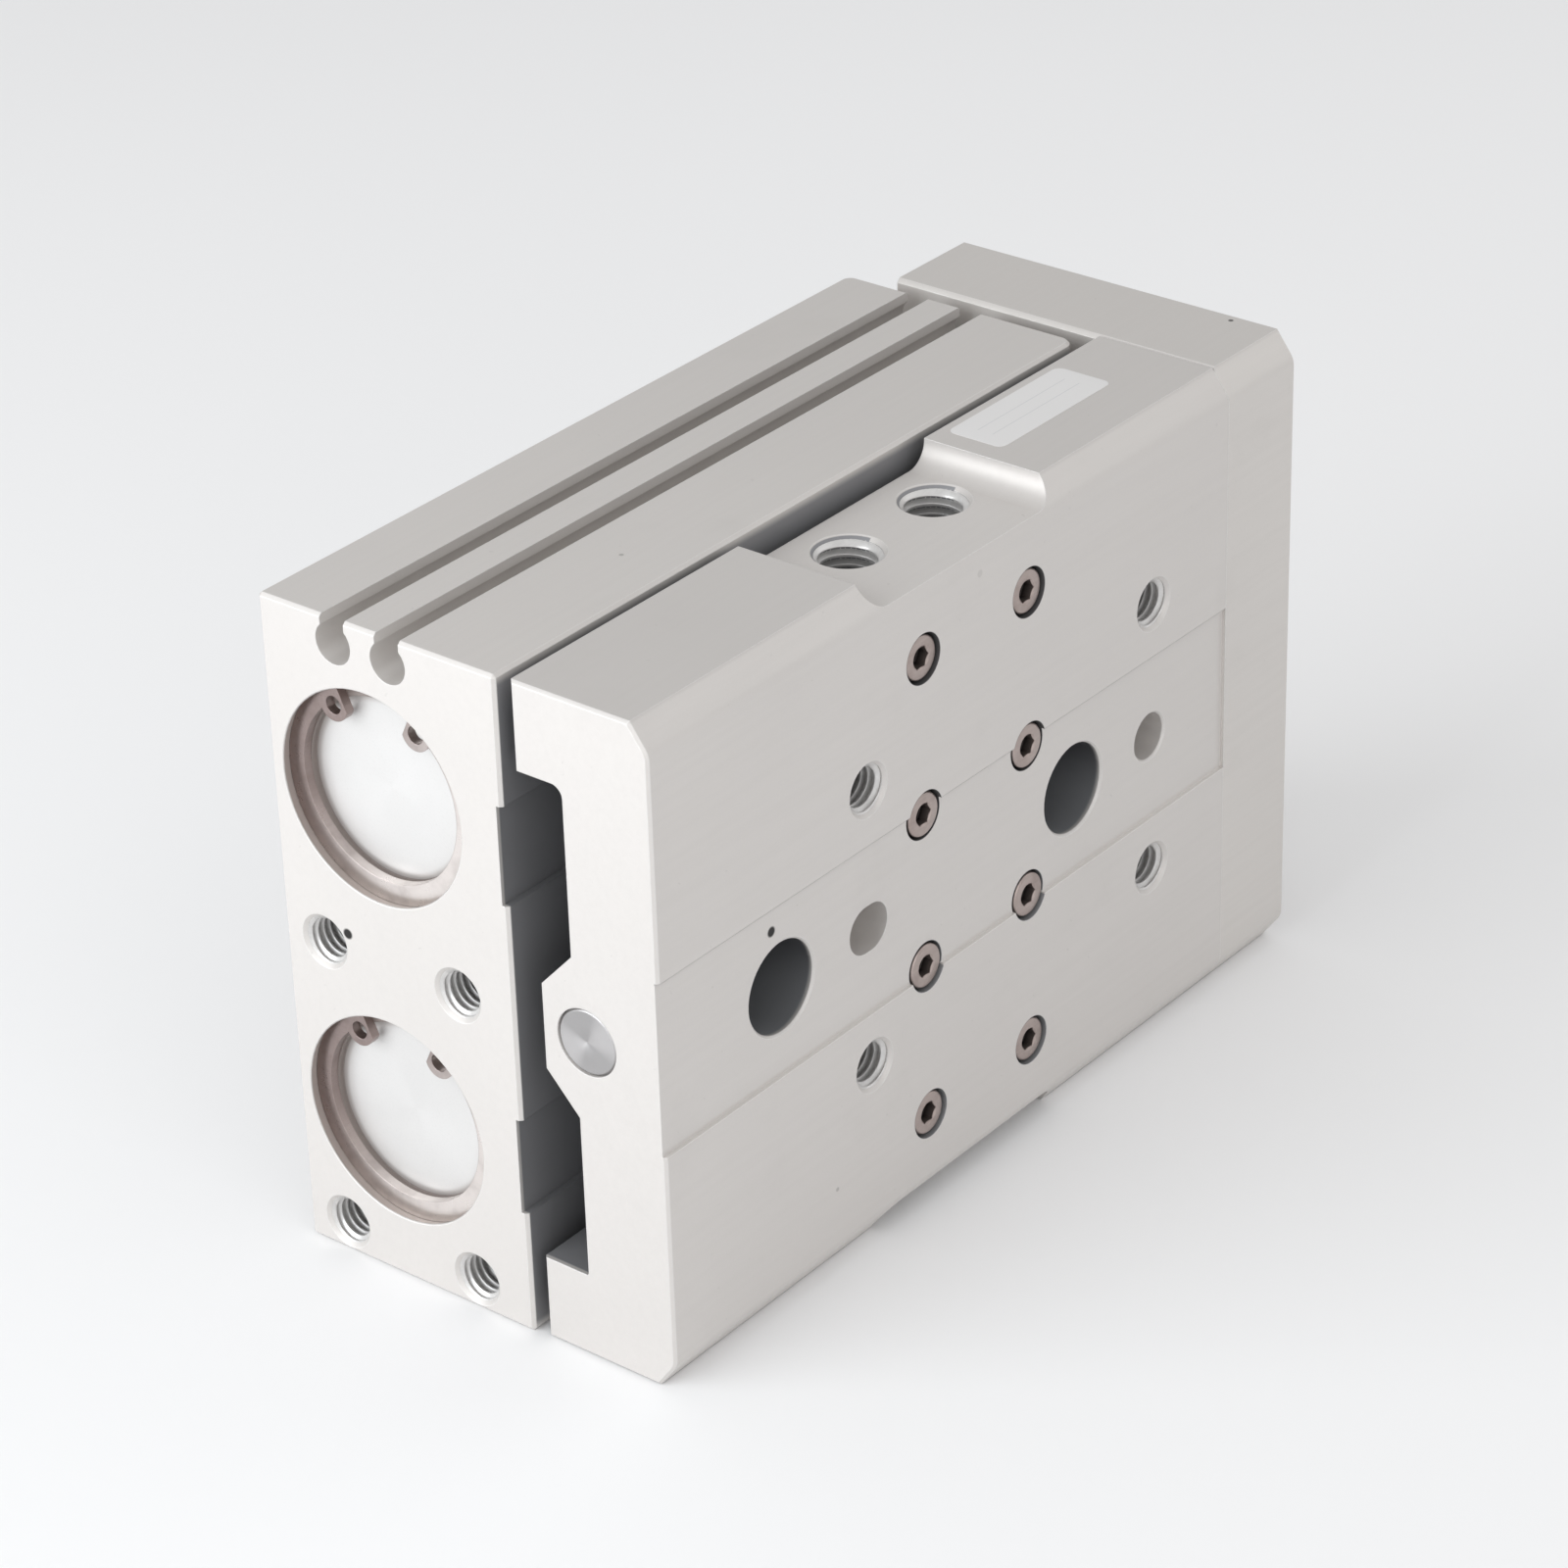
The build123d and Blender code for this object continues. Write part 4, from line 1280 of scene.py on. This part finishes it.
@dataclass(frozen=True)
class TappedHoles:
    """Threads of one group of tapped holes."""

    name: str
    body: str
    slot: str
    thread: Thread
    facing: Facing
    depth: float
    mouths: tuple[Place, ...]
    mouth_bevel: float = 0.45
    wall: float = 0.03
    bottom_gap: float = 0.05
    steps: tuple[float, ...] = (0, 0.125, 0.25, 0.35, 0.46, 0.5625, 0.6875, 0.79, 0.9)
    shade: float = 0.75
    shade_from: float = 1.0
    shade_reach: float = 0.8
    columns: int = 60

    def sleeve(self, mouth: Place) -> tuple[Array, Array]:
        """Closed sleeve whose inner wall is the thread.

        Rows follow the helix: depth = pitch (row - angle / full turn), held between the
        mouth's bevel and the bottom. The radius is the thread's at that depth and angle, or
        the mouth's cone where that is wider. The outer wall lies just inside the metal.

        Args:
            mouth: Centre of the mouth as u, v and h.

        Returns:
            Grid of points whose last row joins its first, and the painted shade of each row.
        """
        thread = self.thread
        turns = np.arange(-1, int(np.ceil(self.depth / thread.pitch)) + 2)
        rows = (turns[:, None] + np.array(self.steps)[None, :]).reshape(-1, 1)
        angle = np.linspace(0, FULL_TURN, self.columns + 1)[None, :]
        top, bottom = self.mouth_bevel, self.depth - self.bottom_gap
        depth = np.clip(thread.pitch * (rows - angle / FULL_TURN), top, bottom)
        cut = thread.radius(depth / thread.pitch + angle / FULL_TURN)
        inner = np.maximum(cut, thread.major + self.mouth_bevel - depth)
        ends = np.ones_like(angle)
        outer = (thread.major + self.wall) * ends
        radius = np.vstack([outer, inner, outer])
        depth = np.vstack([top * ends, depth, bottom * ends])
        # painted shade on each row, growing with depth below shade_from
        below = depth.mean(axis=1) - self.shade_from
        hollow_shade = self.shade * np.clip(below / (self.shade_reach * self.depth), 0, 1)
        return self.facing.wrap(mouth, radius, angle, depth), hollow_shade

    def build(self, finish: Finish) -> None:
        """Make the sleeves as one piece.

        Args:
            finish: Surface finish of the threads.
        """
        shell = Shell()
        for mouth in self.mouths:
            grid, hollow_shade = self.sleeve(mouth)
            shell.add(grid, wrap_rows=True, hollow_shade=hollow_shade)
        seat(shell.piece(self.name), self.body, finish)


@dataclass(frozen=True)
class ScrewSize:
    """Sizes of a socket head screw in millimetres, with the head's rounding and knurl."""

    head_radius: float
    head_height: float
    shank_radius: float
    across_flats: float
    edge: float
    knurl: float


SMALL_SCREW = ScrewSize(2.75, 3.0, 1.45, 2.5, 0.3, 0.05)
LARGE_SCREW = ScrewSize(5.0, 6.0, 2.95, 5.0, 0.5, 0.08)


@dataclass(frozen=True)
class SocketScrews:
    """Socket head screws of one group, which stand for the frame's plain ones."""

    name: str
    body: str
    node: str
    facing: Facing
    tops: tuple[Place, ...]
    size: ScrewSize
    shank_length: float
    slot: str = "screw_steel"
    socket_shade: float = 0.93
    socket_rows: int = 3
    rim: float = 0.12
    neck: float = 0.15
    tip: float = 0.4
    columns: int = 72

    def surface(self, top: Place) -> Array:
        """Screw as rows of rings from the socket's floor, over the head, to the tip.

        The socket's radius is half its flats over the cosine of the angle from the nearest
        flat's middle, its lip dips where a cone cuts the flats, and the knurl is a cosine
        wave round the head.

        Args:
            top: Middle of the head's top as u, v and h.

        Returns:
            Grid of points.
        """
        angle = np.linspace(0, FULL_TURN, self.columns, endpoint=False)
        head, shank, edge = self.size.head_radius, self.size.shank_radius, self.size.edge
        under = self.size.head_height
        end = under + self.shank_length
        floor = under * 0.5
        flat = self.size.across_flats / 2
        hexagon = flat / np.cos(angle % (np.pi / 3) - np.pi / 6)
        lip = flat / np.cos(np.pi / 6) * 1.04
        side = head - self.size.knurl * (0.5 - 0.5 * np.cos(self.columns / 2 * angle))
        arc = np.linspace(0, np.pi / 2, 4)[1:-1]
        profile = [
            (0, floor + 0.3 * flat),
            (0.9 * flat, floor + 0.03),
            (hexagon, floor),
            (hexagon, (lip - hexagon) * 0.6 + 0.02),
            (lip, 0),
            (head - edge, 0),
            *[(head - edge * (1 - np.sin(step)), edge * (1 - np.cos(step))) for step in arc],
            (head, edge),
            (side, edge + self.rim),
            (side, under - 0.25),
            (head - self.rim, under),
            (shank + self.neck, under),
            (shank, under + self.neck),
            (shank, end - self.tip),
            (shank - self.tip, end),
            (0, end),
        ]
        rows = np.stack([[part + 0 * angle for part in pair] for pair in profile])
        return self.facing.wrap(top, rows[:, 0], angle[None, :], rows[:, 1])

    def build(self, finish: Finish) -> None:
        """Make the screws as one piece.

        Args:
            finish: Surface finish.
        """
        shell = Shell()
        for top in self.tops:
            grid = self.surface(top)
            # painted shade on the socket's rows
            socket = np.arange(len(grid)) < self.socket_rows
            shell.add(grid, wrap_columns=True, hollow_shade=self.socket_shade * socket)
        seat(shell.piece(self.name), self.body, finish, (self.node,))


# Sub-assemblies


@dataclass(frozen=True)
class CylinderBlock:
    """Cylinder body with its covers, rings, seals and tapped holes."""

    slot: str = "anodised_aluminium"
    rear_thread_v: tuple[float, float] = (6.0, 26.0)
    rear_thread_h: tuple[float, float] = (-38.3, -0.3)
    port_u: tuple[float, float] = (12.7, 87.0)
    half_width: float = 42.25
    tone: Colour = (0.655, 0.629, 0.607)
    # tone of the painted shade in the body's holes under the table's access holes
    well_shade_tone: Colour = (0.05, 0.05, 0.052)
    marks: tuple[Mark, ...] = (
        Mark(0.0, 9.74, 2.0, radius=0.7, depth=1.0),
        Mark(30.0, 27.0, 42.25, radius=0.3, depth=0.35),
    )
    # painted shade on the side that the table covers
    covered: Zone = Zone(u=(0.35, 105.4), v=(33.3, 40.0), half_h=40.7, soft_h=1.2)
    # painted shade, tinted brown, on the bore walls near the rear face
    bore_mouth: ShadeCollar = ShadeCollar(
        inner=12.8, outer=13.9, u=(0.3, 3.6), tone=(0.52, 0.46, 0.43), share=0.8
    )
    # painted shade on the covers' dish walls, and a soft painted shadow of the rings on the
    # covers
    cover_rims: tuple[ShadeCollar, ...] = (
        ShadeCollar(inner=11.12, outer=13.2, u=(0.0, 3.38), tone=(0.20, 0.155, 0.14), share=0.9),
        ShadeCollar(
            inner=11.0,
            outer=11.4,
            u=(0.0, 200.0),
            tone=(0.34, 0.30, 0.28),
            share=0.6,
            soft=0.9,
        ),
    )

    def finish(self) -> Anodised:
        """Finish of the block, with painted shade on the side that the table covers, in the
        holes under the access holes and round the bore mouths.

        Returns:
            The finish.
        """
        # painted shade in the body's holes under the table's access holes
        shaded_well = ShadedWell(
            u=ACCESS_U,
            radius=5.9,
            top_v=41.0,
            lower_tone=self.well_shade_tone,
            upper_tone=self.well_shade_tone,
            floor_v=16.0,
        )
        return Anodised(
            "body_clear_anodise",
            self.tone,
            marks=self.marks,
            shaded_wells=(shaded_well,),
            zones=(self.covered,),
            shade_collars=(self.bore_mouth,),
            side_share=0.12,
            far_share=0.36,
        )

    def threads(self) -> tuple[TappedHoles, ...]:
        """Tapped holes in the rear face, the back and the lower side.

        Returns:
            One group for each.
        """
        rear = tuple((0.0, v, h) for v in self.rear_thread_v for h in self.rear_thread_h)
        back = tuple((u, 0.0, 0.0) for u in ACCESS_U)
        ports = tuple((u, BORE_V, -self.half_width) for u in self.port_u)
        slot = self.slot
        return (
            TappedHoles("rear_threads", "body", slot, M6, Facing.REARWARD, 12.0, rear),
            TappedHoles("back_threads", "body", slot, M8, Facing.TO_BACK, 14.0, back),
            TappedHoles(
                "port_threads", "body", slot, PIPE_EIGHTH, Facing.DOWNWARD, 7.0, ports, 0.05
            ),
        )

    def build(self, cut_metal: Finish) -> None:
        """Make the block's pieces and dress its nodes.

        Args:
            cut_metal: Finish of freshly cut threads.
        """
        dress(self.finish(), "cylinder_body")
        cover = Turned(
            "turned_cover",
            (0.70, 0.69, 0.68),
            roughness=0.42,
            metallic=0.5,
            mirror_h=BORE_H,
            # faint painted sheen on the covers
            sheen=0.05,
            shade_collars=self.cover_rims,
        )
        # browned ring steel with painted light towards the table and downwards
        ring = PaintedLightSteel(
            "browned_spring_steel",
            (0.33, 0.265, 0.25),
            roughness=0.3,
            metallic=0.9,
            stain=(0.10, 0.065, 0.055),
            stain_share=0.25,
        )
        rubber = Moulded("nitrile_rubber", (0.022, 0.022, 0.023), roughness=0.5)
        bronze = Steel(
            "sintered_bronze",
            (0.50, 0.34, 0.18),
            roughness=0.42,
            metallic=0.95,
            stain_share=0.35,
        )
        for side in SIDE_NAMES.values():
            dress(cover, f"rear_cover_{side}", f"rod_cover_{side}")
            dress(ring, f"retaining_rings_{side}")
            dress(bronze, f"rod_bush_{side}")
        dress(rubber, "cover_o_rings", "bumpers", "rod_seals")
        for group in self.threads():
            group.build(cut_metal)


@dataclass(frozen=True)
class GuideSet:
    """Rails, carriages, end caps, seals and balls of the two recirculating guides."""

    rail_screw_u: tuple[float, ...] = (21.0, 46.0, 71.0, 96.0)
    rail_head_v: float = 39.5
    shank_length: float = 6.7

    def build(self, screw: Finish) -> None:
        """Make the rail screws and dress the guides.

        Args:
            screw: Finish of the screws.
        """
        rail = Steel(
            "dark_rail_steel",
            (0.075, 0.077, 0.084),
            roughness=0.42,
            metallic=0.75,
            stain=(0.03, 0.03, 0.03),
        )
        carriage = Steel(
            "ground_carriage_steel", (0.46, 0.46, 0.47), roughness=0.3, stain_share=0.15
        )
        ball = Steel("bearing_steel", (0.7, 0.7, 0.72), roughness=0.12, stain_share=0.05)
        cap = Moulded("black_end_cap", (0.03, 0.03, 0.032), roughness=0.45)
        seal = Moulded("end_seal_rubber", (0.02, 0.02, 0.021), roughness=0.6)
        for sign, side in SIDE_NAMES.items():
            dress(rail, f"guide_rail_{side}")
            dress(carriage, f"carriage_{side}")
            dress(cap, f"end_cap_{side}_rear", f"end_cap_{side}_front")
            dress(seal, f"end_seals_{side}")
            dress(ball, f"balls_{side}")
            SocketScrews(
                f"rail_socket_screws_{side}",
                "body",
                f"rail_screws_{side}",
                Facing.TO_TABLE,
                tuple((u, self.rail_head_v, sign * GUIDE_H) for u in self.rail_screw_u),
                SMALL_SCREW,
                self.shank_length,
            ).build(screw)


@dataclass(frozen=True)
class TableSet:
    """Slide table with its pin, label, threads and carriage screws."""

    slot: str = "anodised_table"
    face_v: float = 55.0
    band_v: float = 54.55
    upper_step_h: float = 10.97
    lower_step_h: float = -11.0
    dowel_u: tuple[float, float] = (30.8, 86.3)
    work_u: tuple[float, float] = (37.65, 93.15)
    work_h: float = 18.0
    striker_v: float = 43.1
    striker_h: float = 39.1
    striker_u_upper: tuple[float, float] = (50.15, 66.15)
    striker_u_lower: tuple[float, float] = (48.35, 64.35)
    screw_u: tuple[float, float] = (48.05, 68.05)
    screw_half_h: float = 10.0
    screw_head_v: float = 54.7
    screw_shank: float = 8.2
    tone: Colour = (0.650, 0.624, 0.603)
    # painted shade on the table's inner side
    inner_side: Zone = Zone(u=(0.85, 108.0), v=(36.0, 42.9), half_h=38.9)
    # painted light at the band's end next to the end plate
    band_end: Zone = Zone(
        u=(108.2, 108.6), v=(54.3, 56.0), half_h=10.9, soft_h=0.2, tone=(0.74, 0.715, 0.69)
    )

    def shaded_wells(self) -> tuple[ShadedWell, ...]:
        """Painted shade on the walls of the dowel holes, the access holes and the screw
        recesses.

        Returns:
            One family for each, in the order of painting.
        """
        dowels = ShadedWell(
            u=self.dowel_u,
            radius=3.5,
            top_v=self.band_v,
            darkness=0.9,
            # painted light on the dowel walls' lower halves, painted shade on their upper
            # halves
            lower_tone=(0.75, 0.73, 0.71),
            upper_tone=(0.1, 0.1, 0.1),
        )
        access = ShadedWell(u=ACCESS_U, radius=5.7, top_v=self.band_v)
        recesses = ShadedWell(
            u=self.screw_u,
            radius=3.1,
            top_v=self.face_v + 0.8,
            fold_h=GUIDE_H,
            half_h=self.screw_half_h,
            darkness=0.9,
        )
        return dowels, access, recesses

    def finish(self) -> Anodised:
        """Finish of the table, with painted shade in its holes and on its inner side, a
        painted shadow under the band's upper step and painted light on its lower step.

        Returns:
            The finish.
        """
        marks = (
            Mark(20.34, self.band_v, 7.94, radius=0.68, depth=1.0),
            Mark(30.2, self.face_v, -31.0, radius=0.3, depth=0.3),
            Mark(58.74, self.face_v, 36.2, radius=0.5, depth=0.12),
        )
        # painted light on the band's lower step
        lower_step = Line(
            self.lower_step_h,
            from_v=54.4,
            half_width=0.1,
            share=0.85,
            tone=(0.72, 0.695, 0.67),
        )
        return Anodised(
            "table_clear_anodise",
            self.tone,
            marks=marks,
            shaded_wells=self.shaded_wells(),
            zones=(self.inner_side, self.band_end),
            # painted shadow under the band's upper step
            lines=(Line(self.upper_step_h, from_v=54.5), lower_step),
            plain_h=self.lower_step_h,
            side_share=0.42,
            far_share=0.1,
        )

    def threads(self) -> tuple[TappedHoles, ...]:
        """Work threads in the main face and striker threads in the notches.

        Returns:
            The work threads, then the upper and the lower striker threads.
        """
        slot = self.slot
        work = tuple(
            (u, self.face_v, side * self.work_h) for side in SIDES for u in self.work_u
        )
        groups = [TappedHoles("work_threads", "table", slot, M6, Facing.TO_TABLE, 8.0, work)]
        notches = (
            ("upper", 1, self.striker_u_upper, Facing.UPWARD),
            ("lower", -1, self.striker_u_lower, Facing.DOWNWARD),
        )
        for side, sign, places, facing in notches:
            mouths = tuple((u, self.striker_v, sign * self.striker_h) for u in places)
            name = f"striker_threads_{side}"
            groups.append(TappedHoles(name, "table", slot, M8, facing, 4.8, mouths))
        return tuple(groups)

    def build(self, cut_metal: Finish, screw: Finish, film: Film) -> None:
        """Make the table's pieces and dress its nodes.

        Args:
            cut_metal: Finish of freshly cut threads.
            screw: Finish of the screws.
            film: Finish of the label.
        """
        dress(self.finish(), "slide_table")
        for group in self.threads():
            group.build(cut_metal)
        for sign, side in SIDE_NAMES.items():
            tops = tuple(
                (u, self.screw_head_v, sign * GUIDE_H + flank * self.screw_half_h)
                for flank in SIDES
                for u in self.screw_u
            )
            SocketScrews(
                f"table_socket_screws_{side}",
                "table",
                f"carriage_screws_{side}",
                Facing.TO_TABLE,
                tops,
                SMALL_SCREW,
                self.screw_shank,
            ).build(screw)
        Pin().build()
        Label().build(film)


@dataclass(frozen=True)
class Pin:
    """Turned pin in the table's rear face: a faced end with a bevel and a centre mark."""

    u: float = 0.55
    v: float = 44.4
    radius: float = 4.15
    length: float = 11.9
    bevel: float = 0.3
    dimple: tuple[float, float] = (0.22, 0.12)
    dish: float = 0.015
    tone: Colour = (0.44, 0.43, 0.43)
    columns: int = 96

    def build(self) -> None:
        """Turn the pin about its axis from its profile."""
        dimple_radius, dimple_depth = self.dimple
        profile = [
            (0.0, dimple_depth),
            (dimple_radius, 0.0),
            (self.radius * 0.5, self.dish),
            (self.radius - self.bevel, 0.0),
            (self.radius, self.bevel),
            (self.radius, self.length - self.bevel),
            (self.radius - self.bevel, self.length),
            (0.0, self.length),
        ]
        shell = Shell()
        mouth = (self.u, self.v, 0.0)
        shell.add(revolve(mouth, Facing.REARWARD, profile, self.columns), wrap_columns=True)
        finish = Turned(
            "turned_pin",
            self.tone,
            roughness=0.3,
            metallic=0.95,
            axis_v=self.v,
            ring_pitch=0.2,
            # strong painted sheen across the pin's faced end
            sheen=0.6,
        )
        seat(shell.piece("turned_rear_pin"), "table", finish, ("rear_pin",))


@dataclass(frozen=True)
class Label:
    """Blank sticker on the table's upper side."""

    u: float = 87.4
    v: float = 41.25
    h: float = 42.2
    half_length: float = 11.0
    half_width: float = 3.95
    corner: float = 1.1
    thickness: float = 0.045
    per_corner: int = 9

    def outline(self) -> Array:
        """Rounded rectangle: quarter circles of the corner radius about its four corners.

        Returns:
            Pairs of distance along and across.
        """
        quarter = np.linspace(0, np.pi / 2, self.per_corner)
        starts = np.arange(4) * np.pi / 2
        angle = (starts[:, None] + quarter[None, :]).ravel()
        along = np.sign(np.cos(starts + np.pi / 4)).repeat(self.per_corner)
        across = np.sign(np.sin(starts + np.pi / 4)).repeat(self.per_corner)
        x = along * (self.half_length - self.corner) + self.corner * np.cos(angle)
        y = across * (self.half_width - self.corner) + self.corner * np.sin(angle)
        return np.stack([x, y], axis=-1)

    def build(self, film: Film) -> None:
        """Lay the film: its outline shrunk to the middle in steps, with a soft rim.

        Args:
            film: Finish of the film.
        """
        shares = np.array([0.0, 0.35, 0.7, 0.97, 1.0, 1.0, 0.0])[:, None]
        heights = np.array([1.0, 1.0, 1.0, 1.0, 0.72, 0.0, 0.0])[:, None] * self.thickness
        outline = self.outline()
        u = self.u + shares * outline[None, :, 0]
        v = self.v + shares * outline[None, :, 1]
        shell = Shell()
        shell.add(DATUM.place(u, v, self.h + heights * np.ones_like(u)), wrap_columns=True)
        seat(shell.piece("blank_label"), "table", film)


@dataclass(frozen=True)
class EndPlateSet:
    """End plate with its screws, work threads and rod joints."""

    slot: str = "anodised_table"
    front_u: float = 122.9
    screw_v: float = 48.4
    screw_h: tuple[float, ...] = (-34.0, -14.0, 14.0, 34.0)
    screw_top_u: float = 122.5
    screw_shank: float = 19.4
    rod_screw_top_u: float = 122.6
    rod_screw_shank: float = 18.5
    work_v: tuple[float, float] = (18.0, 38.0)
    work_h: tuple[float, float] = (-10.0, 10.0)
    tone: Colour = (0.648, 0.622, 0.598)
    marks: tuple[Mark, ...] = (Mark(121.37, 46.58, 42.2, radius=0.35, depth=0.8),)

    def screws(self) -> tuple[SocketScrews, ...]:
        """Screws that hold the plate to the table and to the rods.

        Returns:
            One group for each.
        """
        tops = tuple((self.screw_top_u, self.screw_v, h) for h in self.screw_h)
        rod_tops = tuple((self.rod_screw_top_u, BORE_V, side * BORE_H) for side in SIDES)
        groups = (
            ("plate_socket_screws", "end_plate_screws", tops, self.screw_shank),
            ("rod_socket_screws", "rod_screws", rod_tops, self.rod_screw_shank),
        )
        return tuple(
            SocketScrews(name, "table", node, Facing.FORWARD, places, LARGE_SCREW, shank)
            for name, node, places, shank in groups
        )

    def build(self, cut_metal: Finish, screw: Finish) -> None:
        """Make the plate's pieces and dress its nodes.

        Args:
            cut_metal: Finish of freshly cut threads.
            screw: Finish of the screws.
        """
        finish = Anodised("plate_clear_anodise", self.tone, marks=self.marks, side_share=0.4)
        dress(finish, "end_plate")
        mouths = tuple((self.front_u, v, h) for v in self.work_v for h in self.work_h)
        threads = TappedHoles(
            "end_plate_threads", "table", self.slot, M6, Facing.FORWARD, 10.0, mouths
        )
        threads.build(cut_metal)
        for group in self.screws():
            group.build(screw)
        washer = Turned(
            "turned_washer", (0.5, 0.5, 0.49), roughness=0.35, metallic=0.95, mirror_h=BORE_H
        )
        dress(washer, "rod_washers", "float_bushes")


@dataclass(frozen=True)
class DriveSet:
    """Pistons, rods and the parts that ride on them."""

    piston: Finish = Turned(
        "turned_piston", (0.62, 0.62, 0.61), roughness=0.35, metallic=0.8, mirror_h=BORE_H
    )
    rod: Finish = Steel("chromed_rod", (0.62, 0.62, 0.63), roughness=0.14, stain_share=0.04)
    tube: Finish = Turned(
        "turned_tube", (0.56, 0.56, 0.55), roughness=0.36, metallic=0.85, mirror_h=BORE_H
    )
    nut: Finish = Steel(
        "zinc_nut", (0.45, 0.43, 0.40), roughness=0.34, metallic=0.95, stain_share=0.2
    )
    seal: Finish = Moulded("piston_seal_rubber", (0.025, 0.025, 0.026), roughness=0.42)
    magnet: Finish = Moulded(
        "bonded_magnet", (0.09, 0.085, 0.085), roughness=0.6, peel=Grain(5.0)
    )
    wear: Finish = Moulded("acetal_wear_ring", (0.74, 0.72, 0.66), roughness=0.45, dust=0.05)

    def build(self) -> None:
        """Dress the two drives."""
        for side in SIDE_NAMES.values():
            dress(self.piston, f"piston_{side}")
            dress(self.rod, f"piston_rod_{side}")
            dress(self.tube, f"stop_tube_{side}")
        dress(self.nut, "piston_nuts")
        dress(self.seal, "piston_seals")
        dress(self.magnet, "piston_magnets")
        dress(self.wear, "wear_rings")


def main() -> None:
    """Build the studio and every sub-assembly in order."""
    logging.basicConfig(level=logging.INFO, format="%(name)s %(message)s")
    cut_metal = Steel(
        "cut_thread",
        (0.70, 0.69, 0.68),
        roughness=0.36,
        metallic=0.6,
        stain=(0.3, 0.29, 0.28),
        stain_share=0.15,
    )
    screw = Steel(
        "plated_screw",
        (0.44, 0.37, 0.345),
        roughness=0.34,
        metallic=0.85,
        stain=(0.14, 0.09, 0.07),
    )
    film = Film("label_film", (0.69, 0.68, 0.675))
    Studio().build()
    CylinderBlock().build(cut_metal)
    GuideSet().build(screw)
    TableSet().build(cut_metal, screw, film)
    EndPlateSet().build(cut_metal, screw)
    DriveSet().build()


if __name__ == "__main__":
    main()
